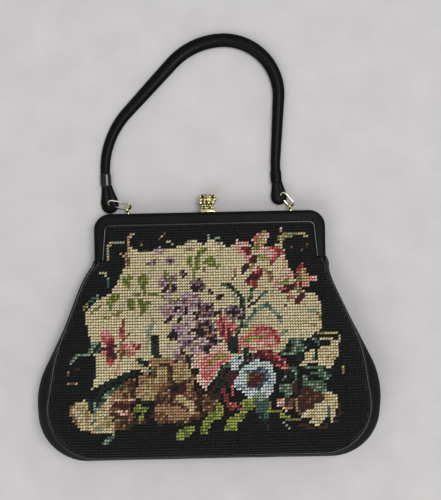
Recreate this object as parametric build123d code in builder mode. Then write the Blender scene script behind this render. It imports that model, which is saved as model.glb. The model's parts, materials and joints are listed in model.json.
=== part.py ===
"""Frame handbag with a needlepoint front, lying on its back.

+X runs to the bag's right, +Y from the pouch towards the handle, +Z up out of the needlepoint face.
The origin is the middle of the flat back panel, on the surface that the bag lies on. Millimetres.
"""
from build123d import *

import os
from dataclasses import dataclass
from math import atan, cos, degrees, pi, radians, sin

os.makedirs("parts", exist_ok=True)

# Frame: two hinged halves, each a brass channel under a leather cover
hinge_y = 70.0
frame_half_width = 89.5
frame_rise = 41.0
frame_half_depth = 9.2
parting_gap = 0.4
frame_corner_radius = 12.5
band_height = 8.0
band_end_width = 5.0
inner_corner_radius = 5.0
cover_thickness = 1.0
cover_edge_radius = 3.0
channel_wall = 1.0
channel_recess = 1.2
bead_radius = 1.0

# Opening: the moving half is mitred at one angle about the hinge line, the still pouch clear of its swing
open_angle = 70.0
moving_mitre_angle = 60.0
mitre_clearance_angle = 5.0

# Hinge: an ear on each channel, side by side, with a rivet through both
ear_radius = 4.0
ear_thickness = 1.2
ear_gap = 0.1
ear_arm_length = 10.0
ear_clearance = 0.4
rivet_radius = 1.4
rivet_clearance = 0.05
rivet_head_radius = 2.4
rivet_head_thickness = 0.7

# Fabric of the pouch
panel_thickness = 2.0
gusset_wall = 1.5
lining_thickness = 0.6
lining_gap = 0.3
piping_radius = 1.4
piping_proud = 0.8
piping_lift = 0.2
seat_gap = 0.3
seam_width = 2.5
insert_overlap = 0.5

# Pouch: the rim is the sewn edge of the front and back panels, the bulge is the gusset between them
pouch_depth = 38.0
pouch_lean = 4.0
ramp_length = 14.0
crown_height = 6.0
flare_drop = 6.0
flare_radius = 8.0
rim_flare_half = 92.0
rim_shoulder_half = 116.5
rim_shoulder_drop = 66.0
rim_shoulder_radius = 120.0
rim_corner_half = 127.5
rim_corner_radius = 36.0
rim_drop = 144.0
bulge_flare_half = 92.5
bulge_shoulder_half = 134.0
bulge_shoulder_drop = 92.0
bulge_shoulder_radius = 60.0
bulge_corner_half = 128.0
bulge_corner_radius = 38.0
bulge_drop = 149.0
crown_size_shares = (1.0, 0.97, 0.92)
crown_rise_shares = (0.0, 0.6, 1.0)

# Clasp: one bud on each half of the frame, side by side
clasp_offset = 1.0
clasp_spacing = 6.6
clasp_waist_spacing = 4.2
clasp_foot_length = 10.4
clasp_foot_shift = 0.4
clasp_foot_width = 6.4
clasp_foot_thickness = 2.2
clasp_height = 14.0
clasp_lean = 3.4
bud_radius = 3.2
bud_lobes = 6
bud_groove_share = 0.8
bud_level_shares = (0.14, 0.3, 0.42, 0.55, 0.78, 0.93, 1.0)
bud_radius_shares = (0.9, 0.6, 0.66, 0.95, 1.0, 0.86, 0.5)
bud_spread_shares = (0.2, 0.0, 0.1, 0.7, 1.0, 1.0, 1.0)

# Handle loops, on the rear half of the frame
loop_inset = 25.8
loop_radius = 2.6
loop_wire_radius = 0.75
loop_tilt = 15.0
loop_foot_radius = 2.2
loop_foot_thickness = 0.7

# Links from the loops to the handle
link_wire_radius = 0.7
link_half_width = 2.6
link_lead = 0.2
link_lift = 1.1
link_roll = 30.0
left_link_length = 12.5
left_link_turn = 168.0
right_link_length = 7.5
right_link_turn = 131.0
link_clearance = 0.2

# Handle: a rolled strap, flopped to the bag's right, with a folded tab at each end, placed from the loops
strap_end_half_width = 3.6
strap_top_half_width = 5.3
strap_half_height = 3.2
strap_place_shares = (0.0, 0.3, 0.55, 0.75, 1.0)
strap_swell_shares = (0.0, 0.6, 1.0, 0.6, 0.0)
strap_lift = 0.2
strap_drawn_loop_x = 63.7
left_strap_reach = 16.9
right_strap_inset = 10.5
strap_end_rise = 22.5
left_bend_reach = 18.1
left_bend_rise = 59.5
left_bend_radius = 66.0
left_shoulder_inset = 53.3
right_shoulder_inset = 4.4
handle_rise = 135.0
left_shoulder_radius = 56.0
right_shoulder_radius = 43.0
right_bend_inset = 11.3
right_bend_rise = 36.0
right_bend_radius = 90.0
keeper_length = 9.0
keeper_wall = 0.9
tab_thickness = 5.6
tab_edge_radius = 2.0
tab_neck_radius = 4.0
left_tab_radius = 6.8
left_tab_reach = 14.2
left_tab_rise = 8.6
right_tab_radius = 6.0
right_tab_inset = 8.7
right_tab_rise = 11.6

# How far cuts run past what they cut, and how near to a line an edge counts as on it
overrun = 20.0
edge_tolerance = 0.5

# Levels and places that follow
hinge_z = frame_half_depth
frame_top = hinge_y + frame_rise
frame_depth = 2 * frame_half_depth
parting_low = hinge_z - parting_gap / 2
parting_high = hinge_z + parting_gap / 2
panel_recess = cover_thickness + channel_wall
panel_face = frame_depth - panel_recess
mouth_half_width = frame_half_width - band_end_width - seat_gap
insert_half_width = frame_half_width - panel_recess - seat_gap
insert_top = frame_top - panel_recess - seat_gap
insert_corner_radius = frame_corner_radius - panel_recess
strap_z = strap_lift + strap_half_height
tab_z = strap_lift + tab_thickness / 2
loop_x = frame_half_width - loop_inset
loop_y = frame_top + loop_wire_radius + loop_radius
loop_z = frame_half_depth / 2
front_tilt = degrees(atan((pouch_depth - panel_face) / rim_drop))
still_mitre_angle = moving_mitre_angle + open_angle + mitre_clearance_angle

parting = Plane.XY.offset(hinge_z)


def tilted_plane(height, angle):
    """Plane through the hinge line at a height, rising towards the bottom of the bag."""
    normal = (0, sin(radians(angle)), cos(radians(angle)))
    return Plane(origin=(0, hinge_y, height), x_dir=(1, 0, 0), z_dir=normal)


def mitre_plane(angle):
    """Plane through the hinge axis at an angle from +Y, facing the larger angles."""
    normal = (0, -sin(radians(angle)), cos(radians(angle)))
    return Plane(origin=(0, hinge_y, hinge_z), x_dir=(1, 0, 0), z_dir=normal)


front_plane = tilted_plane(panel_face, front_tilt)
front_inside = front_plane.offset(-panel_thickness)
middle_plane = tilted_plane((panel_thickness + panel_face) / 2, front_tilt / 2)
back_plane = Plane(origin=(0, hinge_y, 0))
back_inside = back_plane.offset(panel_thickness)
moving_mitre = mitre_plane(moving_mitre_angle)
still_mitre = mitre_plane(still_mitre_angle)


@dataclass(frozen=True)
class Outline:
    """Half widths and drops below the hinge line of one outline of the pouch."""

    flare_half: float
    shoulder_half: float
    shoulder_drop: float
    shoulder_radius: float
    corner_half: float
    corner_radius: float
    drop: float

    def points(self, inset, share, top):
        """Corner points from the left end of the hinge line to the right end, and their radii."""
        middle = self.drop / 2

        def place(side, half, drop):
            lean = -pouch_lean * drop / self.drop
            return (share * (side * (half - inset) + lean), -(middle + share * (drop - middle)))

        side = [
            (mouth_half_width, top),
            (self.flare_half, flare_drop),
            (self.shoulder_half, self.shoulder_drop),
            (self.corner_half, self.drop - inset),
        ]
        left = [place(-1, half, drop) for half, drop in side]
        right = [place(1, half, drop) for half, drop in reversed(side)]
        radii = [flare_radius, share * self.shoulder_radius, share * (self.corner_radius - inset)]
        return left + right, radii + radii[::-1]


rim = Outline(
    rim_flare_half, rim_shoulder_half, rim_shoulder_drop, rim_shoulder_radius,
    rim_corner_half, rim_corner_radius, rim_drop,
)
bulge = Outline(
    bulge_flare_half, bulge_shoulder_half, bulge_shoulder_drop, bulge_shoulder_radius,
    bulge_corner_half, bulge_corner_radius, bulge_drop,
)


def pouch_face(outline, inset=0, share=1.0, top=0):
    """Fill an outline of the pouch in the current sketch."""
    points, radii = outline.points(inset, share, top)
    with BuildLine() as edge:
        FilletPolyline(*points, radius=radii)
        Line(points[-1], points[0])
    make_face(edge.edges())


def pouch_loft(inset, back, front, top):
    """Solid between the back and front planes, with the gusset's bulge half way up."""
    with BuildPart() as body:
        with BuildSketch(back):
            pouch_face(rim, inset, top=top)
        with BuildSketch(middle_plane):
            pouch_face(bulge, inset, top=top)
        with BuildSketch(front):
            pouch_face(rim, inset, top=top)
        loft()
    return body.part


def crown_loft(base, inset):
    """Crowned cushion that rises from the rim on a plane."""
    with BuildPart() as cushion:
        for size_share, rise_share in zip(crown_size_shares, crown_rise_shares):
            with BuildSketch(base.offset(rise_share * crown_height)):
                pouch_face(rim, inset, size_share)
        loft()
    return cushion.part


def piping_cord(plane):
    """Round cord along the rim on a plane, standing a little proud of the seam."""
    points, radii = rim.points(-piping_proud, 1.0, 0)
    with BuildPart() as cord:
        with BuildLine(plane) as route:
            FilletPolyline(*points, radius=radii)
        with BuildSketch(Plane(origin=route.line @ 0, z_dir=route.line % 0)):
            Circle(piping_radius)
        sweep(path=route.line)
    return cord.part


def band_face(outer_inset, inner_inset):
    """Fill the inverted U of the frame's face, with legs that taper towards the hinge."""
    half = frame_half_width - outer_inset
    top = frame_top - outer_inset
    radius = frame_corner_radius - outer_inset
    end_half = frame_half_width - band_end_width + inner_inset
    bend_half = frame_half_width - band_height + inner_inset
    bend_top = frame_top - band_height + inner_inset
    points = [
        (-half, hinge_y), (-half, top), (half, top), (half, hinge_y),
        (end_half, hinge_y), (bend_half, bend_top), (-bend_half, bend_top), (-end_half, hinge_y),
    ]
    with BuildLine() as edge:
        FilletPolyline(
            *points,
            radius=[0, radius, radius, 0, 0, inner_corner_radius, inner_corner_radius, 0],
            close=True,
        )
    make_face(edge.edges())


def band_block(outer_inset, inner_inset, low, high, edge_radius):
    """Band of the frame between two levels, rounded along its outer front edge."""
    edge_half = frame_half_width - band_end_width / 2
    edge_top = frame_top - band_height / 2
    with BuildPart() as block:
        with BuildSketch(Plane.XY.offset(low)):
            band_face(outer_inset, inner_inset)
        extrude(amount=high - low)
        front = block.edges().group_by(Axis.Z)[-1]
        outer = front.filter_by(
            lambda edge: (abs(edge.center().X) > edge_half or edge.center().Y > edge_top)
            and abs(edge.center().Y - hinge_y) > edge_tolerance
        )
        fillet(outer, edge_radius)
    return block.part


def hinge_wheel(radius, low, high):
    """Disc about the hinge axis between two distances from the middle of the bag, on the right."""
    with BuildPart() as wheel:
        with BuildSketch(Plane.YZ.offset(low)):
            with Locations((hinge_y, hinge_z)):
                Circle(radius)
        extrude(amount=high - low)
    return wheel.part


def ear(low, high):
    """Hinge ear on the right of the front half: a disc with an arm along the channel."""
    with BuildPart() as plate:
        with BuildSketch(Plane.YZ.offset(low)):
            with Locations((hinge_y, hinge_z)):
                Circle(ear_radius)
                Rectangle(ear_arm_length, ear_radius, align=(Align.MIN, Align.MIN))
            with Locations((hinge_y, hinge_z)):
                Rectangle(ear_arm_length, parting_gap / 2, align=(Align.MIN, Align.MIN), mode=Mode.SUBTRACT)
                Circle(rivet_radius + rivet_clearance, mode=Mode.SUBTRACT)
        extrude(amount=high - low)
    return plate.part


# Leather covers of the frame
def frame_cover():
    """Leather over the front and the outer edge of the front half."""
    with BuildPart() as cover:
        add(band_block(0, 0, parting_high, frame_depth, cover_edge_radius))
        inner_radius = cover_edge_radius - cover_thickness
        pocket = band_block(
            cover_thickness, -band_end_width, parting_high, frame_depth - cover_thickness, inner_radius
        )
        add(pocket, mode=Mode.SUBTRACT)
        split(bisect_by=moving_mitre, keep=Keep.BOTTOM)
    return cover.part


with BuildPart() as front_frame_cover:
    add(frame_cover())
front_frame_cover.part.label = "front_frame_cover"
export_step(front_frame_cover.part, "parts/front_frame_cover.step")

with BuildPart() as rear_frame_cover:
    add(mirror(frame_cover(), about=parting, mode=Mode.PRIVATE))
rear_frame_cover.part.label = "rear_frame_cover"
export_step(rear_frame_cover.part, "parts/rear_frame_cover.step")


# Brass channels that the covers are glued to, each with an ear at the end of both legs
rear_ear_high = frame_half_width - cover_thickness - ear_gap
rear_ear_low = rear_ear_high - ear_thickness
front_ear_high = rear_ear_low - ear_gap
front_ear_low = front_ear_high - ear_thickness


def frame_channel(ear_low, ear_high):
    """Channel of the front half, open towards the panel."""
    inner_radius = cover_edge_radius - cover_thickness
    with BuildPart() as channel:
        add(
            band_block(
                cover_thickness, channel_recess, parting_high, frame_depth - cover_thickness, inner_radius
            )
        )
        with BuildSketch(Plane.XY.offset(parting_high + channel_wall)):
            band_face(cover_thickness + channel_wall, -band_end_width)
        extrude(amount=panel_face - parting_high - channel_wall, mode=Mode.SUBTRACT)
        split(bisect_by=moving_mitre, keep=Keep.BOTTOM)
        clearance = hinge_wheel(ear_radius + ear_clearance, 0, frame_half_width)
        right_ear = ear(ear_low, ear_high)
        add(clearance, mode=Mode.SUBTRACT)
        add(mirror(clearance, about=Plane.YZ, mode=Mode.PRIVATE), mode=Mode.SUBTRACT)
        add(right_ear)
        add(mirror(right_ear, about=Plane.YZ, mode=Mode.PRIVATE))
    return channel.part


with BuildPart() as front_frame_channel:
    add(frame_channel(front_ear_low, front_ear_high))
front_frame_channel.part.label = "front_frame_channel"
export_step(front_frame_channel.part, "parts/front_frame_channel.step")

with BuildPart() as rear_frame_channel:
    add(mirror(frame_channel(rear_ear_low, rear_ear_high), about=parting, mode=Mode.PRIVATE))
rear_frame_channel.part.label = "rear_frame_channel"
export_step(rear_frame_channel.part, "parts/rear_frame_channel.step")


# Rivets of the hinge
def hinge_rivet():
    """Rivet on the right, with its head inside the ears."""
    with BuildPart() as rivet:
        add(hinge_wheel(rivet_radius, front_ear_low - ear_gap, rear_ear_high))
        add(
            hinge_wheel(
                rivet_head_radius, front_ear_low - ear_gap - rivet_head_thickness, front_ear_low - ear_gap
            )
        )
    return rivet.part


with BuildPart() as right_hinge_rivet:
    add(hinge_rivet())
right_hinge_rivet.part.label = "right_hinge_rivet"
export_step(right_hinge_rivet.part, "parts/right_hinge_rivet.step")

with BuildPart() as left_hinge_rivet:
    add(mirror(hinge_rivet(), about=Plane.YZ, mode=Mode.PRIVATE))
left_hinge_rivet.part.label = "left_hinge_rivet"
export_step(left_hinge_rivet.part, "parts/left_hinge_rivet.step")


# Glossy bead along the inner edge of the frame's face
def frame_bead():
    """Round bead that lies in the corner between the front cover and the panel."""
    end_half = frame_half_width - band_end_width - bead_radius
    bend_half = frame_half_width - band_height - bead_radius
    bend_top = frame_top - band_height - bead_radius
    radius = inner_corner_radius - bead_radius
    with BuildPart() as bead:
        with BuildLine(Plane.XY.offset(panel_face + bead_radius)) as route:
            FilletPolyline(
                (-end_half, hinge_y), (-bend_half, bend_top), (bend_half, bend_top), (end_half, hinge_y),
                radius=[radius, radius],
            )
        with BuildSketch(Plane(origin=route.line @ 0, z_dir=route.line % 0)):
            Circle(bead_radius)
        sweep(path=route.line)
        split(bisect_by=moving_mitre, keep=Keep.BOTTOM)
    return bead.part


with BuildPart() as front_frame_bead:
    add(frame_bead())
front_frame_bead.part.label = "front_frame_bead"
export_step(front_frame_bead.part, "parts/front_frame_bead.step")

with BuildPart() as rear_frame_bead:
    add(mirror(frame_bead(), about=parting, mode=Mode.PRIVATE))
rear_frame_bead.part.label = "rear_frame_bead"
export_step(rear_frame_bead.part, "parts/rear_frame_bead.step")


# Front panel: the part in the frame moves with it, the strip at the hinge folds, the rest is the pouch's
def insert_face(bottom):
    """Fill the outline that a panel has inside the frame, down to a drop below the hinge line."""
    top = insert_top - hinge_y
    points = [
        (-insert_half_width, -bottom), (-insert_half_width, top),
        (insert_half_width, top), (insert_half_width, -bottom),
    ]
    with BuildLine() as edge:
        FilletPolyline(*points, radius=[0, insert_corner_radius, insert_corner_radius, 0], close=True)
    make_face(edge.edges())


def insert_sheet(high, thickness):
    """Flat sheet held in the front half of the frame, below a level."""
    with BuildPart() as sheet:
        with BuildSketch(back_plane.offset(high - thickness)):
            insert_face(0)
        extrude(amount=thickness)
        split(bisect_by=moving_mitre, keep=Keep.BOTTOM)
    return sheet.part


with BuildPart() as front_panel_upper:
    add(insert_sheet(panel_face, panel_thickness))
front_panel_upper.part.label = "front_panel_upper"
export_step(front_panel_upper.part, "parts/front_panel_upper.step")

with BuildPart() as front_lining_upper:
    add(insert_sheet(panel_face - panel_thickness, lining_thickness))
front_lining_upper.part.label = "front_lining_upper"
export_step(front_lining_upper.part, "parts/front_lining_upper.step")

front_piping_cord = piping_cord(front_plane.offset(-panel_thickness / 2))
back_piping_cord = piping_cord(back_plane.offset(piping_radius + piping_lift))

with BuildPart() as front_panel_lower:
    with BuildSketch(front_inside):
        pouch_face(rim)
    extrude(amount=panel_thickness)
    add(crown_loft(front_plane, 0))
    add(crown_loft(front_inside, seam_width), mode=Mode.SUBTRACT)
    split(bisect_by=still_mitre, keep=Keep.TOP)
    add(front_piping_cord, mode=Mode.SUBTRACT)
front_panel_lower.part.label = "front_panel_lower"
export_step(front_panel_lower.part, "parts/front_panel_lower.step")

with BuildPart() as front_panel_fold:
    with BuildSketch(front_inside):
        with Locations((0, 0)):
            Rectangle(2 * mouth_half_width, 2 * ramp_length)
    extrude(amount=panel_thickness)
    split(bisect_by=Plane.XZ.offset(-hinge_y), keep=Keep.TOP)
    with BuildSketch(Plane.XY.offset(panel_face - panel_thickness)):
        with Locations((0, hinge_y)):
            Rectangle(2 * mouth_half_width, ramp_length, align=(Align.CENTER, Align.MIN))
    extrude(amount=panel_thickness)
    split(bisect_by=moving_mitre, keep=Keep.TOP)
    split(bisect_by=still_mitre, keep=Keep.BOTTOM)
front_panel_fold.part.label = "front_panel_fold"
export_step(front_panel_fold.part, "parts/front_panel_fold.step")


# Back panel: flat on the surface below the hinge, stepped up into the rear half of the frame
def back_sheet(low, thickness):
    """Sheet along the back of the bag, at a level above the surface."""
    bottom = -overrun - rim_drop
    profile = [
        (bottom, low), (hinge_y - ramp_length, low), (hinge_y - flare_drop, panel_recess + low),
        (insert_top, panel_recess + low), (insert_top, panel_recess + low + thickness),
        (hinge_y - flare_drop, panel_recess + low + thickness), (hinge_y - ramp_length, low + thickness),
        (bottom, low + thickness),
    ]
    with BuildPart() as sheet:
        with BuildSketch(Plane.YZ):
            with BuildLine():
                Polyline(*profile, close=True)
            make_face()
        extrude(amount=frame_half_width + rim_drop, both=True)
    return sheet.part


with BuildPart() as back_panel:
    add(back_sheet(0, panel_thickness))
    with BuildSketch(back_plane):
        pouch_face(rim)
        insert_face(insert_overlap)
    extrude(amount=frame_depth, mode=Mode.INTERSECT)
    add(back_piping_cord, mode=Mode.SUBTRACT)
back_panel.part.label = "back_panel"
export_step(back_panel.part, "parts/back_panel.step")

# Gusset: the ribbed wall between the two rims
with BuildPart() as gusset:
    add(pouch_loft(0, back_inside, front_inside, 0))
    add(pouch_loft(gusset_wall, back_inside, front_inside, -overrun), mode=Mode.SUBTRACT)
    split(bisect_by=still_mitre, keep=Keep.TOP)
    add(front_piping_cord, mode=Mode.SUBTRACT)
    add(back_piping_cord, mode=Mode.SUBTRACT)
    add(back_panel.part, mode=Mode.SUBTRACT)
gusset.part.label = "gusset"
export_step(gusset.part, "parts/gusset.step")

with BuildPart() as front_piping:
    add(front_piping_cord)
    split(bisect_by=still_mitre, keep=Keep.TOP)
front_piping.part.label = "front_piping"
export_step(front_piping.part, "parts/front_piping.step")

with BuildPart() as back_piping:
    add(back_piping_cord)
    add(rear_frame_cover.part, mode=Mode.SUBTRACT)
back_piping.part.label = "back_piping"
export_step(back_piping.part, "parts/back_piping.step")

# Lining: a back sheet up into the rear half of the frame, a side wall and a front sheet
with BuildPart() as lining:
    add(pouch_loft(gusset_wall + lining_gap, back_inside, front_inside, 0))
    add(
        pouch_loft(
            gusset_wall + lining_gap + lining_thickness, back_inside,
            front_inside.offset(-lining_thickness), -overrun,
        ),
        mode=Mode.SUBTRACT,
    )
    split(bisect_by=still_mitre, keep=Keep.TOP)
    add(back_panel.part, mode=Mode.SUBTRACT)
lining.part.label = "lining"
export_step(lining.part, "parts/lining.step")

with BuildPart() as back_lining:
    add(back_sheet(panel_thickness, lining_thickness))
    with BuildSketch(back_plane):
        pouch_face(rim, gusset_wall + lining_gap + lining_thickness)
        insert_face(insert_overlap)
    extrude(amount=frame_depth, mode=Mode.INTERSECT)
back_lining.part.label = "back_lining"
export_step(back_lining.part, "parts/back_lining.step")


# Clasp buds on the top edge of the frame
def bud_section(radius):
    """Lobed section of a bud: points that alternate between lobe and groove."""
    corners = 2 * bud_lobes
    points = []
    for corner in range(corners):
        reach = radius if corner % 2 == 0 else radius * bud_groove_share
        turn = 2 * pi * corner / corners
        points.append((reach * cos(turn), reach * sin(turn)))
    with BuildLine() as edge:
        Polyline(*points, close=True)
    make_face(edge.edges())


def clasp_bud(side, foot_z, lean):
    """Foot plate and lobed bud on one half of the frame, to one side of the middle."""
    foot_x = side * clasp_foot_shift - clasp_offset
    with BuildPart() as bud:
        with BuildSketch(Plane(origin=(foot_x, frame_top, foot_z), x_dir=(1, 0, 0), z_dir=(0, 1, 0))):
            RectangleRounded(clasp_foot_length, clasp_foot_width, clasp_foot_width / 4)
        extrude(amount=clasp_foot_thickness)
        bud_shares = zip(bud_level_shares, bud_radius_shares, bud_spread_shares)
        for level_share, radius_share, spread_share in bud_shares:
            rise = level_share * clasp_height
            spacing = clasp_waist_spacing + spread_share * (clasp_spacing - clasp_waist_spacing)
            x = side * spacing / 2 - clasp_offset
            z = foot_z + lean * min(1, rise / (clasp_height / 2))
            with BuildSketch(Plane(origin=(x, frame_top + rise, z), x_dir=(1, 0, 0), z_dir=(0, 1, 0))):
                bud_section(radius_share * bud_radius)
        loft(ruled=True)
    return bud.part


foot_offset = frame_half_depth / 2
with BuildPart() as front_clasp_bud:
    add(clasp_bud(-1, hinge_z + foot_offset, -clasp_lean))
front_clasp_bud.part.label = "front_clasp_bud"
export_step(front_clasp_bud.part, "parts/front_clasp_bud.step")

with BuildPart() as rear_clasp_bud:
    add(clasp_bud(1, hinge_z - foot_offset, clasp_lean))
rear_clasp_bud.part.label = "rear_clasp_bud"
export_step(rear_clasp_bud.part, "parts/rear_clasp_bud.step")


# Handle loops: wire eyes that stand on the rear half of the frame
def handle_loop(x):
    """Wire eye on a round foot, turned a little towards the front."""
    turn = radians(loop_tilt)
    eye = Plane(origin=(x, loop_y, loop_z), x_dir=(0, 1, 0), z_dir=(cos(turn), 0, sin(turn)))
    with BuildPart() as loop:
        with BuildSketch(Plane(origin=(x, frame_top, loop_z), x_dir=(1, 0, 0), z_dir=(0, 1, 0))):
            Circle(loop_foot_radius)
        extrude(amount=loop_foot_thickness)
        with Locations(eye):
            Torus(loop_radius, loop_wire_radius)
        split(bisect_by=Plane.XZ.offset(-frame_top), keep=Keep.BOTTOM)
    return loop.part


with BuildPart() as left_handle_loop:
    add(handle_loop(-loop_x))
left_handle_loop.part.label = "left_handle_loop"
export_step(left_handle_loop.part, "parts/left_handle_loop.step")

with BuildPart() as right_handle_loop:
    add(handle_loop(loop_x))
right_handle_loop.part.label = "right_handle_loop"
export_step(right_handle_loop.part, "parts/right_handle_loop.step")


# Links: long oval wire rings that lie over on one side and pass through the loops
def handle_link(x, length, turn, wire_radius):
    """Oval ring round the outer side of a loop, at a turn from +X."""
    way = Vector(cos(radians(turn)), sin(radians(turn)), 0)
    start = Vector(x, loop_y + loop_radius, loop_z + link_lift) + way * link_lead
    tip_over = Vector(-sin(radians(turn)), cos(radians(turn)), 0) * sin(radians(link_roll))
    flat = Plane(origin=start, x_dir=way, z_dir=tip_over + Vector(0, 0, 1) * cos(radians(link_roll)))
    with BuildPart() as link:
        with BuildLine(flat) as route:
            Line((0, -link_half_width), (length, -link_half_width))
            CenterArc((length, 0), link_half_width, -90, 180)
            Line((length, link_half_width), (0, link_half_width))
            CenterArc((0, 0), link_half_width, 90, 180)
        with BuildSketch(Plane(origin=route.line @ 0, z_dir=route.line % 0)):
            Circle(wire_radius)
        sweep(path=route.line)
    return link.part


with BuildPart() as left_handle_link:
    add(handle_link(-loop_x, left_link_length, left_link_turn, link_wire_radius))
left_handle_link.part.label = "left_handle_link"
export_step(left_handle_link.part, "parts/left_handle_link.step")

with BuildPart() as right_handle_link:
    add(handle_link(loop_x, right_link_length, right_link_turn, link_wire_radius))
right_handle_link.part.label = "right_handle_link"
export_step(right_handle_link.part, "parts/right_handle_link.step")


# Handle strap: a rolled leather strap along the surface, widest over the top
strap_level = Plane.XY.offset(strap_z)
strap_swell = strap_top_half_width - strap_end_half_width
strap_stretch = loop_x / strap_drawn_loop_x
left_end = (-loop_x - left_strap_reach, frame_top + strap_end_rise)
right_end = (loop_x - right_strap_inset, frame_top + strap_end_rise)
with BuildPart() as handle_strap:
    with BuildLine(strap_level) as strap_route:
        FilletPolyline(
            left_end,
            (-loop_x - left_bend_reach, frame_top + left_bend_rise),
            (left_shoulder_inset * strap_stretch - loop_x, frame_top + handle_rise),
            (loop_x - right_shoulder_inset * strap_stretch, frame_top + handle_rise),
            (loop_x - right_bend_inset, frame_top + right_bend_rise),
            right_end,
            radius=[
                left_bend_radius,
                left_shoulder_radius * strap_stretch,
                right_shoulder_radius * strap_stretch,
                right_bend_radius,
            ],
        )
    for place_share, swell_share in zip(strap_place_shares, strap_swell_shares):
        origin = strap_route.line @ place_share
        with BuildSketch(Plane(origin=origin, x_dir=(0, 0, 1), z_dir=strap_route.line % place_share)):
            Ellipse(strap_half_height, strap_end_half_width + swell_share * strap_swell)
    sweep(path=strap_route.line, multisection=True)
handle_strap.part.label = "handle_strap"
export_step(handle_strap.part, "parts/handle_strap.step")


# Keepers: leather bands wrapped round both ends of the strap
def strap_keeper(end, way):
    """Band round the strap, from its end along a direction."""
    with BuildPart() as keeper:
        with BuildSketch(Plane(origin=(*end, strap_z), x_dir=(0, 0, 1), z_dir=way)):
            Ellipse(strap_half_height + keeper_wall, strap_end_half_width + keeper_wall)
        extrude(amount=keeper_length)
        add(handle_strap.part, mode=Mode.SUBTRACT)
        split(bisect_by=Plane.XY, keep=Keep.TOP)
    return keeper.part


with BuildPart() as left_handle_keeper:
    add(strap_keeper(left_end, strap_route.line % 0))
left_handle_keeper.part.label = "left_handle_keeper"
export_step(left_handle_keeper.part, "parts/left_handle_keeper.step")

with BuildPart() as right_handle_keeper:
    add(strap_keeper(right_end, -(strap_route.line % 1)))
right_handle_keeper.part.label = "right_handle_keeper"
export_step(right_handle_keeper.part, "parts/right_handle_keeper.step")


# Tabs: leather folded round the outer ends of the links, from below the keepers
def handle_tab(end, x, rise, radius, link_room):
    """Drop-shaped tab with a hollow for the end of its link."""
    with BuildPart() as tab:
        with BuildSketch(Plane.XY.offset(strap_lift)):
            with Locations((end[0], end[1] - tab_neck_radius)):
                Circle(tab_neck_radius)
            with Locations((x, frame_top + rise)):
                Circle(radius)
            make_hull()
        extrude(amount=tab_thickness)
        fillet(tab.edges().group_by(Axis.Z)[-1], tab_edge_radius)
        fillet(tab.edges().group_by(Axis.Z)[0], tab_edge_radius)
        add(link_room, mode=Mode.SUBTRACT)
    return tab.part


room_radius = link_wire_radius + link_clearance
left_room = handle_link(-loop_x, left_link_length, left_link_turn, room_radius)
right_room = handle_link(loop_x, right_link_length, right_link_turn, room_radius)

with BuildPart() as left_handle_tab:
    add(handle_tab(left_end, -loop_x - left_tab_reach, left_tab_rise, left_tab_radius, left_room))
left_handle_tab.part.label = "left_handle_tab"
export_step(left_handle_tab.part, "parts/left_handle_tab.step")

with BuildPart() as right_handle_tab:
    add(handle_tab(right_end, loop_x - right_tab_inset, right_tab_rise, right_tab_radius, right_room))
right_handle_tab.part.label = "right_handle_tab"
export_step(right_handle_tab.part, "parts/right_handle_tab.step")
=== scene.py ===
import json
import logging
import math
from dataclasses import dataclass, field
from enum import Enum
from typing import Any, Callable, Iterable, Optional, Sequence, Union

import bmesh
import bpy
import numpy as np
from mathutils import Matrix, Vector


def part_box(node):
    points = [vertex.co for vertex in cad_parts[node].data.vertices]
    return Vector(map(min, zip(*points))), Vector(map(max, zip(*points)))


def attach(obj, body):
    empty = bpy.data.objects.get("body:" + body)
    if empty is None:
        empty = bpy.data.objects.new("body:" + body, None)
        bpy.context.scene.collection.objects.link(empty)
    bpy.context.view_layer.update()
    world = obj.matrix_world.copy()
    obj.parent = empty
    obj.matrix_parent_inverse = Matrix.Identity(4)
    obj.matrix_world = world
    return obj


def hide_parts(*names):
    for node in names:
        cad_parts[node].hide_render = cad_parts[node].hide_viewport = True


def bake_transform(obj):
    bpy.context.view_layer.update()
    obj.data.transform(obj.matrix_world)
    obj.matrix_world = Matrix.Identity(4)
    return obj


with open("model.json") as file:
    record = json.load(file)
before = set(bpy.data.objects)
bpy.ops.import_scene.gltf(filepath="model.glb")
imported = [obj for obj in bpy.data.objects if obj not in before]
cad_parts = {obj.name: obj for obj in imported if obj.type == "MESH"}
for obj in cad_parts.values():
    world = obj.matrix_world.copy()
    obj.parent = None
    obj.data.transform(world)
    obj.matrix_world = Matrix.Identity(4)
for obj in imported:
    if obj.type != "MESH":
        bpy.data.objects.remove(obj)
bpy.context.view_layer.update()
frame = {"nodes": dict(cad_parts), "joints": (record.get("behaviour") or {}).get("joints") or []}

LOG = logging.getLogger("handbag")
MM = 0.001
EYE = Vector((8.17 * MM, 81.38 * MM, 850 * MM))
POUCH_DEPTH = 38 * MM
INSERT_GAPS = (0.4 * MM, 0.3 * MM)

Point = tuple[float, float]
Place = tuple[float, float, float]
Colour = tuple[float, float, float]


class Body(Enum):
    """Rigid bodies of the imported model."""

    BAG = "bag"
    FRONT = "front_frame"
    HANDLE = "handle"


class Side(Enum):
    """Left or right of the bag, with its sign along X."""

    LEFT = -1
    RIGHT = 1


def linear(red: int, green: int, blue: int) -> Colour:
    """Turn a colour as it shows on a screen into scene-linear light.

    Args:
        red: Red, from 0 to 255.
        green: Green, from 0 to 255.
        blue: Blue, from 0 to 255.

    Returns:
        The three linear values.
    """
    shares = [value / 255 for value in (red, green, blue)]
    return tuple(s / 12.92 if s < 0.04045 else ((s + 0.055) / 1.055) ** 2.4 for s in shares)


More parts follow.
